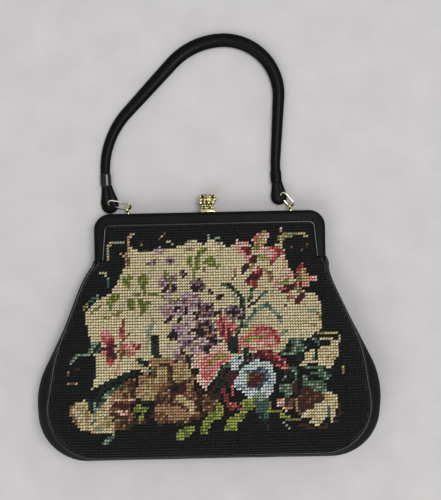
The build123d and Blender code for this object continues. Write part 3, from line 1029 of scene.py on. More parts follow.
@dataclass(frozen=True)
class Petal(Shape):
    """Pointed petal from its foot to its tip, with tones along it."""

    width: float
    foot: Point
    tip: Point
    blur: float = 0.3

    def depth(self, at: Stitches) -> np.ndarray:
        """Distance along the petal, blurred by chance."""
        foot, tip = np.array(self.foot), np.array(self.tip)
        length = np.linalg.norm(tip - foot)
        way = (tip - foot) / length
        x, y = at.x - foot[0], at.y - foot[1]
        along = (x * way[0] + y * way[1]) / length
        half = 0.5 * self.width * np.sin(np.pi * np.clip(along, 0, 1) ** 0.8) ** 0.75
        inside = (along > 0) & (along < 1) & (np.abs(x * way[1] - y * way[0]) < half)
        return np.where(inside, np.clip(along + self.blur * (at.chance - 0.5), 0, 0.999), np.nan)


class Bouquet:
    """Traditional flower bouquet on a cream field, as simple shapes from the back to the front."""

    def field(self) -> list[Shape]:
        """Cream field with its scalloped edge."""
        edge = (
            (372, 112), (440, 148), (520, 120), (600, 132), (662, 106), (702, 84), (742, 88), (772, 106),
            (802, 84), (862, 84), (902, 126), (940, 96), (1050, 130), (1130, 120), (1200, 86), (1214, 150),
            (1232, 222), (1290, 330), (1330, 362), (1384, 372), (1412, 420), (1420, 482), (1414, 562),
            (1380, 604), (1330, 640), (1200, 690), (1000, 700), (760, 760), (480, 800), (400, 780),
            (300, 830), (165, 892), (192, 830), (196, 740), (166, 640), (150, 570), (136, 500), (150, 452),
            (210, 402), (270, 372), (310, 310), (330, 260), (356, 210), (350, 170), (372, 150))
        return [
            Patch("cream cream cream pale_cream", edge),
            Stroke("sand straw brown", 30, ((368, 158), (362, 226))),
            Stroke("umber black", 13, ((450, 138), (496, 136))),
            Stroke("tan straw olive", 13, ((676, 128), (716, 128))),
            Stroke("tan straw", 13, ((864, 100), (870, 130))),
            Stroke("straw olive", 14, ((170, 470), (215, 440))),
            Stroke("straw tan olive", 13, ((230, 505), (300, 490), (330, 460))),
            Stroke("straw tan", 14, ((1290, 536), (1340, 528), (1380, 545)))]

    def scrolls(self) -> list[Shape]:
        """Broken scrolls at the corners of the field."""
        pale = "straw sand teal"
        faint = "umber black brown"
        green = "deep_teal teal leaf"
        return [
            Stroke(pale, 15, ((262, 190), (262, 112), (282, 90), (345, 90))),
            Stroke("sand straw", 13, ((310, 160), (350, 162))),
            Stroke("sand straw tan", 15, ((376, 140), (376, 62), (404, 44))),
            Stroke("umber olive", 11, ((438, 84), (444, 116))),
            Stroke("teal straw", 14, ((222, 258), (246, 266), (252, 276))),
            Stroke("teal deep_teal", 14, ((266, 282), (264, 330))),
            Stroke("teal deep_teal olive", 17, ((126, 466), (146, 424), (205, 386))),
            Stroke("tan sand brown", 14, ((540, 82), (560, 46))),
            Stroke("straw sand", 14, ((570, 84), (612, 104))),
            Stroke("teal olive", 16, ((676, 100), (704, 84))),
            Stroke("teal straw", 13, ((796, 44), (800, 70))),
            Stroke("teal deep_teal", 13, ((848, 66), (862, 76))),
            Stroke("olive teal straw", 26, ((1190, 68), (1240, 58))),
            Stroke("olive straw teal", 13, ((1224, 48), (1305, 38), (1334, 64))),
            Stroke(faint, 12, ((1332, 88), (1330, 126), (1296, 140))),
            Stroke(faint, 12, ((1250, 116), (1276, 120))),
            Stroke("tan cream", 14, ((1192, 18), (1206, 52))),
            Stroke(green, 18, ((56, 742), (82, 712), (150, 700), (166, 664))),
            Patch("leaf pine teal", ((160, 640), (214, 628), (222, 690), (170, 690))),
            Stroke("umber black", 11, ((100, 782), (44, 790))),
            Stroke("tan straw brown", 12, ((40, 800), (38, 846), (52, 858), (84, 858))),
            Stroke("straw tan olive", 14, ((1390, 582), (1496, 584))),
            Stroke("teal straw", 14, ((1504, 596), (1508, 636))),
            Stroke("tan straw", 13, ((1528, 768), (1528, 806))),
            Patch("teal deep_teal teal", (
                (230, 1180), (262, 1140), (292, 1126), (300, 1146), (280, 1176), (240, 1190)))]

    def sprays(self) -> list[Shape]:
        """Moss green leaves, stems and pale leaves on the field."""
        moss = "moss lime moss olive"
        teal = "teal teal deep_teal"
        dark = "pine pine leaf"
        left = (
            ((342, 279), (373, 268), (390, 283), (377, 314), (377, 350), (360, 340), (342, 314)),
            ((442, 257), (473, 279), (477, 314), (460, 340), (455, 372), (442, 348), (420, 318),
             (425, 283)),
            ((299, 366), (329, 374), (316, 400), (290, 418), (281, 461), (260, 457), (255, 413),
             (277, 379)),
            ((364, 405), (390, 394), (407, 414), (403, 453), (412, 466), (381, 464), (360, 453)),
            ((425, 405), (451, 398), (460, 418), (490, 418), (477, 453), (451, 483), (434, 494),
             (429, 453)))
        middle = (
            ((677, 179), (707, 170), (712, 205), (716, 234), (694, 218)),
            ((746, 135), (794, 122), (790, 137), (757, 172), (751, 186), (733, 177)),
            ((736, 186), (764, 183), (759, 231), (733, 246), (730, 205)),
            ((794, 175), (825, 168), (842, 199), (870, 218), (851, 233), (825, 227), (785, 211),
             (768, 199)),
            ((764, 231), (796, 235), (785, 263), (768, 246)))
        shapes: list[Shape] = [Patch(moss, leaf) for leaf in left + middle]
        return shapes + [
            Stroke("olive straw moss", 14, ((381, 370), (494, 368), (546, 383), (640, 402))),
            Stroke("lime olive", 17, ((722, 240), (729, 300))),
            Stroke("olive straw", 14, ((530, 182), (546, 200))),
            Stroke("lime olive", 20, ((566, 256), (586, 266))),
            Stroke(teal, 20, ((886, 316), (902, 330))),
            Stroke(dark, 19, (
                (912, 322), (944, 352), (984, 394), (990, 470), (982, 540), (958, 590), (940, 650))),
            Stroke("teal cream teal", 14, ((936, 380), (966, 430), (968, 520))),
            Stroke("pine leaf", 20, ((1046, 336), (1024, 402))),
            Stroke("pine", 13, ((1076, 396), (1016, 444))),
            Stroke("teal deep_teal cream", 18, ((1086, 376), (1150, 356))),
            Stroke(teal, 23, ((996, 548), (1056, 464), (1116, 430), (1168, 470), (1196, 522))),
            Stroke("teal olive", 15, ((1346, 456), (1390, 472), (1410, 506))),
            Stroke(teal, 14, ((1194, 590), (1232, 572))),
            Stroke("teal teal straw", 24, ((504, 520), (474, 590), (470, 664))),
            Patch("pine black pine", (
                (495, 602), (531, 602), (531, 684), (548, 700), (546, 732), (520, 730), (496, 690)))]

    def lilac(self) -> list[Shape]:
        """Lilac sprays: pale clusters with cream between them, dark petals and small eyes."""
        pale = "lilac pale_lilac lilac pale_lilac mauve"
        airy = "lilac cream pale_lilac cream"
        shaded = "mauve lilac mauve plum"
        dark = "plum night plum mauve"
        clusters = (
            (pale, ((530, 280), (580, 272), (590, 330), (552, 346), (528, 320))),
            (pale, ((600, 252), (632, 262), (628, 330), (604, 330))),
            (shaded, ((596, 330), (634, 312), (632, 366), (598, 372))),
            (shaded, ((692, 312), (722, 300), (740, 278), (766, 284), (790, 330), (762, 364), (712, 352))),
            (pale, ((555, 371), (598, 368), (596, 404), (570, 416), (555, 409))),
            (pale, (
                (577, 420), (637, 412), (663, 368), (752, 364), (752, 412), (745, 458), (716, 462),
                (708, 492), (655, 484), (620, 484), (600, 498), (558, 498), (536, 460), (536, 438))),
            (shaded, ((748, 412), (830, 420), (836, 470), (806, 500), (760, 500), (738, 470))),
            (shaded, ((884, 452), (930, 432), (960, 440), (994, 462), (986, 500), (940, 522), (900, 506))),
            (pale, ((678, 498), (740, 496), (738, 540), (690, 578), (670, 540))),
            (pale, ((745, 494), (806, 494), (840, 520), (836, 560), (790, 556), (745, 535))),
            (pale, ((603, 540), (694, 532), (692, 604), (640, 590), (590, 580))),
            (shaded, ((730, 540), (836, 530), (850, 612), (804, 622), (736, 616))),
            (pale, ((640, 587), (724, 587), (722, 664), (640, 664))),
            (pale, ((700, 624), (776, 600), (798, 640), (776, 690), (722, 704), (698, 676))),
            (airy, ((575, 640), (650, 640), (650, 700), (625, 756), (590, 740), (580, 690))),
            (shaded, ((630, 690), (700, 700), (716, 740), (640, 750), (620, 740))))
        petals = (
            ((630, 262), (676, 230), (684, 276), (657, 298), (656, 268)),
            ((789, 386), (806, 353), (834, 355)),
            ((713, 346), (722, 336), (756, 340), (748, 360)),
            ((736, 300), (752, 292), (752, 314)),
            ((798, 360), (834, 352), (836, 382)),
            ((838, 416), (847, 370), (880, 366), (878, 400)),
            ((663, 478), (678, 446), (692, 446), (681, 486)),
            ((627, 508), (664, 488), (661, 518), (640, 530)),
            ((719, 470), (764, 458), (760, 500), (733, 512)),
            ((774, 458), (789, 440), (806, 446), (793, 470)),
            ((910, 470), (940, 456), (962, 476), (940, 498)),
            ((689, 586), (737, 546), (771, 524), (812, 506), (825, 528), (820, 560), (804, 586), (774, 597),
             (737, 624), (720, 612), (737, 580)),
            ((574, 613), (614, 567), (638, 584), (626, 634), (599, 622)),
            ((657, 668), (676, 694), (722, 704), (694, 738), (653, 730)),
            ((774, 697), (782, 651), (812, 621), (869, 615), (873, 640), (824, 655), (804, 690)))
        strokes = (
            ((584, 327), (556, 362)),
            ((573, 526), (605, 497)),
            ((834, 492), (866, 460)),
            ((620, 470), (634, 446)),
            ((663, 664), (704, 628)),
            ((700, 760), (735, 716)))
        eyes = (
            (586, 470), (683, 416), (776, 470), (789, 561), (737, 528), (808, 597), (616, 613), (732, 647),
            (666, 714))
        shapes: list[Shape] = [
            Oval("pale_lilac lilac", (538, 137), (30, 17)),
            Oval("lilac mauve", (504, 203), (20, 19)),
            Stroke("plum mauve", 14, ((468, 218), (490, 204))),
            Oval("plum mauve lilac", (596, 194), (32, 26)),
            Stroke("olive moss", 17, ((592, 276), (596, 320))),
            Stroke("olive", 13, ((564, 410), (596, 404)))]
        shapes += [Patch(*cluster) for cluster in clusters]
        shapes += [Patch(dark, corners) for corners in petals]
        shapes += [Stroke(dark, 20, line) for line in strokes]
        return shapes + [Oval("amber tan", eye, (11, 11)) for eye in eyes]

    def lilies(self) -> list[Shape]:
        """Two lilies at the upper right and a red flower at the left."""
        blush = "blush pale_cream blush rose"
        deep = "red coral red maroon"
        wine = "maroon maroon plum"
        return [
            Patch(blush, ((942, 84), (957, 80), (1013, 93), (1030, 114), (1000, 130), (958, 122))),
            Patch("rose blush rose", (
                (956, 120), (990, 124), (1020, 160), (1016, 202), (996, 198), (990, 166), (962, 150))),
            Patch(deep, ((976, 116), (1010, 110), (1040, 130), (1036, 160), (1012, 158), (996, 142))),
            Patch("straw olive straw tan", (
                (1045, 83), (1075, 48), (1110, 26), (1128, 44), (1124, 82), (1104, 104), (1094, 120),
                (1075, 142), (1049, 152), (1041, 135))),
            Stroke("rose coral blush", 22, ((1048, 82), (1080, 48))),
            Stroke("blush rose", 22, ((1118, 46), (1112, 92))),
            Stroke("rose blush", 20, ((1072, 142), (1088, 124))),
            Patch("rose blush rose", (
                (1094, 147), (1120, 122), (1166, 118), (1196, 129), (1210, 146), (1188, 170), (1169, 176),
                (1146, 208), (1126, 205), (1140, 180), (1114, 176))),
            Stroke("pale_lilac blush", 26, ((1104, 156), (1134, 150))),
            Stroke("red coral red", 19, ((1144, 124), (1192, 132), (1202, 146), (1172, 172), (1136, 206))),
            Stroke("lime olive", 22, ((1078, 172), (1124, 186))),
            Patch(wine, ((1025, 190), (1042, 163), (1069, 166), (1066, 212), (1032, 212))),
            Patch(wine, ((979, 226), (994, 211), (1028, 211), (1013, 241), (984, 276), (976, 252))),
            Stroke("brown tan", 13, ((944, 238), (940, 286))),
            Stroke("blush cream", 13, ((956, 250), (964, 220))),
            Oval("lime olive", (1041, 226), (13, 14)),
            Stroke("lilac blush", 12, ((1028, 246), (1052, 246), (1060, 220))),
            Patch(deep, ((1072, 225), (1092, 242), (1095, 270), (1081, 293), (1057, 284), (1052, 252))),
            Patch(deep, ((995, 310), (1026, 265), (1049, 255), (1066, 284), (1062, 334), (1028, 332))),
            Patch(wine, ((1024, 266), (1049, 253), (1066, 284), (1050, 298), (1020, 294))),
            Patch("brown tan", ((1118, 249), (1146, 252), (1152, 291), (1140, 316), (1124, 291))),
            Stroke("straw tan", 16, ((1100, 232), (1112, 250))),
            Stroke("red coral red", 20, ((1272, 272), (1290, 234), (1314, 202))),
            Patch("olive blush rose", ((1284, 264), (1306, 226), (1332, 240), (1334, 274), (1296, 284))),
            Petal("olive straw rose blush", 50, (1280, 292), (1398, 288)),
            Stroke("red rose maroon rose", 24, ((1262, 316), (1300, 320), (1334, 324))),
            Stroke("blush rose cream", 24, ((1214, 188), (1224, 242))),
            Patch("rose blush pale_lilac rose", (
                (1141, 338), (1166, 307), (1175, 284), (1211, 268), (1256, 243), (1265, 275), (1230, 299),
                (1188, 319), (1175, 345))),
            Stroke("lime olive", 19, ((1190, 312), (1232, 306))),
            Patch(wine, (
                (1177, 345), (1224, 326), (1264, 322), (1265, 350), (1236, 358), (1231, 378), (1195, 361))),
            Stroke("red coral", 20, ((1184, 344), (1214, 340))),
            Stroke("rose coral", 22, ((1244, 358), (1254, 392))),
            Oval("lilac olive", (1290, 346), (20, 15)),
            Patch(wine, ((1264, 424), (1292, 372), (1323, 363), (1316, 394), (1286, 428))),
            Stroke("brown tan", 13, ((1232, 392), (1222, 440))),
            Stroke("tan brown", 12, ((322, 642), (378, 588))),
            Stroke("rose tan", 13, ((322, 750), (300, 815))),
            Petal("red coral rose blush", 66, (282, 660), (222, 552)),
            Petal("coral red", 30, (334, 630), (346, 500)),
            Petal("coral blush rose red", 66, (316, 662), (442, 658)),
            Petal("red rose", 46, (292, 674), (216, 706)),
            Petal("maroon red coral", 52, (290, 680), (262, 766)),
            Petal("brown tan coral", 40, (312, 682), (412, 706)),
            Stroke(wine, 18, ((224, 668), (268, 664), (292, 652))),
            Stroke("maroon umber", 24, ((290, 690), (296, 716))),
            Stroke("brown tan", 22, ((326, 690), (330, 720)))]

    def roses(self) -> list[Shape]:
        """Pink roses, crimson petals and the blue flower."""
        coral = "coral rose coral"
        return [
            Patch("coral red coral rose", (
                (862, 480), (896, 498), (912, 530), (946, 518), (960, 560), (930, 602), (906, 644),
                (880, 622), (860, 592), (846, 560))),
            Stroke("red maroon", 17, ((882, 532), (888, 582))),
            Stroke("maroon pine", 13, ((918, 556), (910, 626))),
            Patch("pine black plum", ((915, 620), (960, 580), (972, 690), (940, 700), (900, 672))),
            Stroke("rose blush", 13, ((900, 640), (884, 676))),
            Patch("rose coral rose", (
                (963, 678), (969, 621), (999, 578), (1046, 542), (1119, 542), (1162, 559), (1198, 608),
                (1194, 657), (1157, 674), (1055, 674), (1025, 670), (995, 657))),
            Stroke("blush straw", 17, ((998, 588), (1046, 552))),
            Stroke("olive lime tan", 18, ((1010, 632), (1040, 606), (1110, 604))),
            Stroke("blush pale_cream rose", 28, ((1040, 642), (1150, 634))),
            Stroke("coral red coral", 22, ((1070, 566), (1130, 562), (1162, 592), (1184, 640))),
            Stroke(coral, 17, ((968, 650), (976, 692))),
            Stroke("straw blush cream", 15, ((1090, 666), (1156, 668), (1196, 652))),
            Patch("teal straw leaf", ((988, 662), (1018, 668), (1022, 704), (984, 696))),
            Oval("leaf pine", (1006, 676), (14, 14)),
            Patch("maroon maroon red", (
                (999, 722), (1055, 685), (1132, 672), (1183, 706), (1221, 727), (1240, 812), (1196, 777),
                (1145, 768), (1140, 740), (1085, 723), (1055, 734), (1004, 748))),
            Stroke("plum mauve plum", 34, ((1012, 730), (1052, 706))),
            Stroke("coral red", 14, ((1118, 692), (1172, 694))),
            Stroke("coral rose red", 20, ((1170, 712), (1214, 732), (1224, 770), (1238, 804))),
            Stroke(coral, 15, ((1176, 764), (1230, 768))),
            Patch("blush pale_cream blush rose", (
                (704, 768), (734, 691), (773, 683), (777, 698), (811, 689), (815, 657), (867, 636),
                (875, 676), (924, 702), (920, 738), (871, 759), (862, 798), (824, 841), (815, 854),
                (785, 898), (738, 849), (730, 817), (760, 792), (738, 772))),
            Patch("rose coral rose", (
                (751, 753), (775, 715), (820, 700), (867, 678), (920, 723), (867, 755), (850, 789),
                (815, 832), (755, 824), (768, 787))),
            Stroke("coral rose", 16, ((760, 800), (800, 806), (836, 790))),
            Stroke("olive lime tan", 22, ((806, 752), (850, 715), (892, 700))),
            Patch("pine umber black", (
                (790, 892), (840, 838), (871, 759), (910, 738), (924, 787), (905, 850), (880, 912),
                (860, 952), (800, 932))),
            Stroke("leaf deep_teal", 18, ((892, 770), (920, 756))),
            Patch("maroon umber maroon", (
                (900, 800), (925, 783), (967, 800), (957, 852), (930, 904), (905, 852))),
            Stroke("red coral red", 28, ((886, 890), (900, 950), (930, 988))),
            Stroke(coral, 15, ((936, 878), (936, 912))),
            Stroke("coral rose red", 26, ((930, 968), (990, 1002))),
            Patch("sky ice sky", (
                (922, 702), (952, 710), (969, 723), (999, 706), (995, 745), (1020, 753), (1059, 717),
                (1085, 732), (1127, 734), (1147, 753), (1147, 796), (1172, 809), (1172, 841), (1159, 873),
                (1155, 909), (1119, 930), (1080, 913), (1055, 939), (1008, 935), (999, 905), (969, 896),
                (942, 875), (942, 847), (963, 809), (963, 789), (924, 785))),
            Stroke("navy plum", 17, ((970, 776), (1002, 744))),
            Stroke("navy blue navy", 20, ((998, 792), (1110, 782))),
            Stroke("navy blue navy", 24, ((1112, 786), (1118, 822), (1090, 860), (1062, 880))),
            Stroke("blue ice", 15, ((960, 868), (1000, 892), (1052, 884))),
            Stroke("blue ice", 13, ((1140, 800), (1126, 862))),
            Patch("maroon brown umber", ((1008, 802), (1092, 794), (1092, 849), (1063, 876), (1008, 875))),
            Stroke("olive tan", 16, ((1018, 812), (1020, 842)))]

    def tan_roses(self) -> list[Shape]:
        """Tan, brown and cream roses along the bottom left."""
        tan = "straw tan straw tan"
        brown = "brown tan brown umber"
        umber = "umber brown umber"
        soft = "tan clay tan"
        cream = "cream straw cream sand"
        return [
            Patch(brown, (
                (482, 721), (612, 717), (620, 774), (685, 749), (706, 798), (734, 814), (726, 855),
                (763, 904), (840, 920), (842, 990), (755, 1032), (714, 1064), (576, 1074), (494, 1060),
                (515, 961), (498, 944), (417, 928), (421, 814), (498, 806), (490, 765))),
            Patch(soft, ((482, 720), (612, 716), (618, 766), (560, 776), (500, 770))),
            Stroke(umber, 20, ((548, 756), (600, 766))),
            Patch(tan, ((523, 778), (576, 778), (580, 848), (530, 848))),
            Patch(soft, ((421, 812), (480, 798), (502, 830), (430, 854))),
            Stroke(umber, 20, ((482, 820), (496, 846))),
            Patch(tan, (
                (417, 871), (441, 855), (498, 828), (547, 812), (578, 851), (531, 881), (515, 922),
                (498, 955), (450, 955), (417, 942), (399, 912))),
            Patch(umber, ((580, 800), (622, 780), (610, 830), (626, 852), (585, 852))),
            Patch("straw straw tan", (
                (624, 757), (649, 727), (687, 749), (708, 792), (700, 841), (628, 845), (602, 831),
                (616, 782))),
            Patch(brown, ((530, 882), (578, 862), (600, 900), (586, 944), (520, 940))),
            Patch("umber maroon plum", (
                (580, 871), (628, 853), (680, 849), (680, 906), (620, 922), (604, 948), (588, 922),
                (604, 896))),
            Stroke("black pine", 22, ((608, 892), (640, 880))),
            Stroke(umber, 18, ((515, 952), (600, 962), (660, 988))),
            Patch(soft, (
                (502, 975), (650, 978), (690, 1010), (702, 1046), (600, 1052), (560, 1012), (505, 1002))),
            Patch("straw cream straw", (
                (622, 930), (665, 914), (683, 940), (720, 957), (732, 1003), (710, 1038), (694, 985),
                (653, 963))),
            Stroke("brown umber tan", 22, ((502, 1052), (590, 1064), (690, 1057))),
            Stroke("umber black umber", 34, ((735, 866), (760, 930), (766, 1006))),
            Patch("brown umber tan", ((767, 914), (842, 924), (840, 1002), (790, 1022), (765, 992))),
            Stroke(umber, 20, ((700, 1058), (780, 1030))),
            Stroke("umber black", 12, ((480, 1072), (560, 1080), (660, 1080))),
            Patch("brown umber brown tan", (
                (372, 830), (405, 824), (415, 871), (401, 920), (415, 953), (372, 971), (380, 1003),
                (415, 1020), (403, 1085), (372, 1109), (303, 1109), (299, 1056), (260, 1010), (260, 981),
                (287, 902), (319, 861))),
            Stroke(umber, 32, ((384, 846), (398, 912))),
            Patch(soft, ((287, 897), (325, 888), (325, 937), (290, 942))),
            Stroke("clay blush tan", 15, ((293, 950), (402, 942))),
            Stroke("umber maroon", 18, ((283, 976), (340, 986), (402, 960))),
            Stroke("clay blush brown", 22, ((275, 1006), (368, 1018))),
            Stroke("umber black maroon", 42, ((412, 1064), (492, 1040))),
            Patch(cream, (
                (58, 1002), (80, 960), (142, 944), (160, 1000), (182, 1032), (210, 960), (272, 918),
                (282, 960), (262, 1022), (304, 1080), (292, 1122), (190, 1122), (110, 1112), (80, 1060))),
            Stroke("brown tan", 15, ((66, 980), (62, 1020), (84, 1070))),
            Stroke("tan olive", 11, ((140, 1010), (150, 1060))),
            Stroke("straw olive", 11, ((220, 990), (240, 1040), (262, 1090))),
            Stroke("deep_teal", 12, ((170, 1082), (190, 1060))),
            Stroke("teal tan", 12, ((180, 1100), (240, 1098))),
            Patch("pine black pine", (
                (150, 960), (170, 920), (230, 862), (290, 830), (350, 800), (402, 784), (418, 800),
                (370, 832), (300, 852), (242, 892), (212, 942), (190, 992), (164, 1032))),
            Stroke("deep_teal leaf pine teal", 24, ((210, 986), (250, 920), (318, 870))),
            Stroke("teal leaf", 16, ((184, 1024), (192, 962))),
            Patch("pine black leaf", (
                (394, 718), (444, 722), (484, 748), (494, 792), (450, 772), (418, 746))),
            Stroke("teal leaf straw", 18, ((400, 748), (452, 770), (494, 792))),
            Stroke("pine black", 20, ((424, 952), (500, 962))),
            Stroke("pine", 20, ((488, 1000), (504, 1016))),
            Patch("lime moss olive", (
                (384, 999), (401, 977), (429, 959), (437, 985), (484, 989), (466, 1016), (401, 1020))),
            Patch("lime moss", ((417, 1048), (441, 1018), (460, 1026), (450, 1064), (425, 1077)))]

    def leaves(self) -> list[Shape]:
        """Leaves below the roses, and the striped leaves and cream roses at the right."""
        lime = "lime lime moss"
        cream = "cream pale_cream cream straw"
        green = "leaf teal leaf deep_teal"
        stripes = (
            (((1240, 626), (1320, 624)), 17), (((1232, 642), (1316, 644)), 12),
            (((1258, 674), (1320, 668)), 22), (((1196, 702), (1280, 698)), 13),
            (((1196, 682), (1214, 662)), 12), (((1378, 618), (1402, 640)), 24),
            (((1378, 660), (1378, 722)), 13), (((1334, 764), (1412, 776)), 22),
            (((1362, 796), (1440, 799)), 13), (((1404, 814), (1456, 816)), 13),
            (((1440, 830), (1456, 834)), 12), (((1206, 840), (1222, 812)), 12))
        shapes: list[Shape] = [
            Patch(lime, ((618, 1132), (650, 1100), (722, 1078), (724, 1112), (688, 1156), (630, 1160))),
            Patch(lime, (
                (752, 1097), (775, 1065), (820, 1008), (836, 1030), (815, 1082), (800, 1130), (762, 1130))),
            Patch(lime, (
                (800, 1046), (836, 1010), (838, 945), (872, 960), (894, 990), (884, 1042), (850, 1050))),
            Patch(lime, (
                (888, 1102), (900, 1060), (950, 1020), (1000, 998), (1018, 1008), (986, 1060), (957, 1075),
                (952, 1114), (900, 1114))),
            Patch("moss olive lime", ((968, 950), (1052, 930), (1058, 990), (990, 1012))),
            Petal("teal deep_teal deep_teal pine", 84, (1076, 896), (1118, 1076)),
            Stroke("lime olive", 15, ((1130, 950), (1142, 990))),
            Stroke("lime olive", 18, ((1128, 1000), (1210, 1016))),
            Stroke("umber black", 12, ((1128, 1076), (1130, 1112))),
            Patch("pine black pine", (
                (1195, 679), (1240, 619), (1325, 615), (1331, 643), (1310, 690), (1280, 705), (1195, 708))),
            Stroke("black pine", 32, ((1320, 652), (1386, 600))),
            Patch("pine black black", (
                (1290, 700), (1400, 740), (1470, 790), (1460, 850), (1300, 870), (1200, 900), (1190, 840)))]
        shapes += [Stroke(green, width, line) for line, width in stripes]
        return shapes + [
            Patch(green, ((1240, 760), (1286, 760), (1286, 842), (1272, 842), (1262, 790), (1244, 786))),
            Patch(green, (
                (1187, 867), (1206, 850), (1247, 852), (1271, 842), (1265, 869), (1254, 917), (1236, 954),
                (1210, 950), (1213, 911), (1187, 910))),
            Patch(green, ((1314, 806), (1342, 806), (1347, 832), (1327, 878), (1316, 862))),
            Patch(green, (
                (1321, 837), (1418, 835), (1446, 855), (1446, 895), (1415, 913), (1392, 906), (1366, 895),
                (1355, 865), (1325, 865))),
            Stroke(cream, 14, ((1410, 614), (1468, 614))),
            Patch(cream, (
                (1398, 671), (1418, 654), (1463, 650), (1459, 624), (1506, 622), (1513, 647), (1506, 701),
                (1484, 731), (1476, 749), (1459, 776), (1433, 772), (1429, 757), (1401, 757), (1398, 725))),
            Stroke("tan straw", 13, ((1440, 710), (1492, 716))),
            Patch(cream, (
                (1323, 697), (1359, 663), (1372, 671), (1372, 725), (1390, 738), (1344, 746), (1340, 757),
                (1297, 760), (1297, 744), (1329, 736))),
            Stroke("maroon umber", 28, ((1272, 860), (1277, 904))),
            Patch("maroon umber", ((1304, 882), (1340, 866), (1368, 890), (1368, 917), (1308, 917))),
            Patch("umber brown umber maroon", (
                (1366, 902), (1429, 908), (1435, 941), (1407, 962), (1370, 988), (1333, 1010), (1293, 995),
                (1293, 915))),
            Patch("brown umber brown", ((1212, 935), (1277, 930), (1277, 977), (1212, 977))),
            Patch("clay blush", ((1170, 930), (1210, 928), (1214, 975), (1182, 987), (1170, 970))),
            Patch("clay blush", ((1190, 978), (1258, 976), (1264, 1004), (1200, 1006))),
            Stroke("clay tan", 14, ((1282, 946), (1284, 994))),
            Stroke("tan brown", 18, ((1282, 1000), (1300, 1014), (1332, 1020))),
            Stroke("moss lime olive", 25, ((1206, 1034), (1240, 1048), (1296, 1052))),
            Stroke("umber black umber", 20, (
                (1508, 958), (1518, 1010), (1492, 1062), (1440, 1088), (1380, 1098), (1288, 1078))),
            Patch(cream, (
                (1435, 904), (1474, 906), (1499, 922), (1499, 993), (1487, 1018), (1484, 1044),
                (1467, 1068), (1457, 1053), (1470, 1027), (1463, 1004), (1442, 1008), (1446, 1040),
                (1415, 1077), (1385, 1088), (1349, 1064), (1385, 1025), (1355, 1049), (1305, 1047),
                (1305, 1023), (1344, 997), (1377, 989), (1377, 967), (1422, 956), (1437, 934))),
            Stroke("deep_teal pine", 13, ((1448, 984), (1458, 1030))),
            Stroke("teal olive", 12, ((1212, 1072), (1230, 1090))),
            Stroke("straw teal", 12, ((1238, 1104), (1254, 1106)))]

    def shapes(self) -> list[Shape]:
        """Every shape, from the back to the front."""
        return (self.field() + self.scrolls() + self.sprays() + self.lilac() + self.lilies()
                + self.tan_roses() + self.roses() + self.leaves())


@dataclass(frozen=True)
class Chart:
    """How the chart lies on the bag: flat to an eye straight above it."""

    eye: Vector
    corner: Point = (-115.4 * MM, 100.6 * MM)
    unit: float = 0.1424 * MM
    level: float = 20 * MM
    turn: float = math.radians(1.19)
    shade_spread: float = 0.07

    def locate(self, points: np.ndarray, chance: np.ndarray) -> Stitches:
        """Chart places of points on the bag.

        Args:
            points: Rows of points.
            chance: A number from 0 to 1 for each.

        Returns:
            The places, in chart units.
        """
        spread = (self.eye.z - self.level) / (self.eye.z - points[:, 2])
        x = (points[:, 0] - self.eye.x) * spread
        y = (points[:, 1] - self.eye.y) * spread
        c, s = math.cos(self.turn), math.sin(self.turn)
        across = c * x - s * y + self.eye.x
        up = s * x + c * y + self.eye.y
        return Stitches((across - self.corner[0]) / self.unit, (self.corner[1] - up) / self.unit, chance)

    def covered(self, points: np.ndarray) -> np.ndarray:
        """Whether cream wool lies over points.

        Args:
            points: Rows of points on the canvas.

        Returns:
            1 on the cream field and roses, 0 elsewhere.
        """
        at = self.locate(points, np.full(len(points), 0.5))
        found = np.zeros(len(points))
        for shape in Bouquet().shapes():
            found[~np.isnan(shape.depth(at))] = float(Wool.CREAM in shape.tones)
        return found

    def colours(self, points: np.ndarray, rng: np.random.Generator) -> np.ndarray:
        """Wool of each stitch.

        Args:
            points: Rows of stitch places.
            rng: Seeded chance.

        Returns:
            Rows of linear colours with an alpha of 1.
        """
        at = self.locate(points, rng.random(len(points)))
        wools = list(Wool)
        picked = np.full(len(points), wools.index(Wool.BLACK))
        for shape in Bouquet().shapes():
            tones = np.array([wools.index(tone) for tone in shape.tones])
            depth = shape.depth(at)
            inside = ~np.isnan(depth)
            picked[inside] = tones[np.minimum((depth[inside] * len(tones)).astype(int), len(tones) - 1)]
        palette = np.array([tone.light for tone in wools])
        shade = rng.normal(1.0, self.shade_spread, (len(points), 1))
        return np.concatenate([np.clip(palette[picked] * shade, 0, 1), np.ones((len(points), 1))], axis=1)


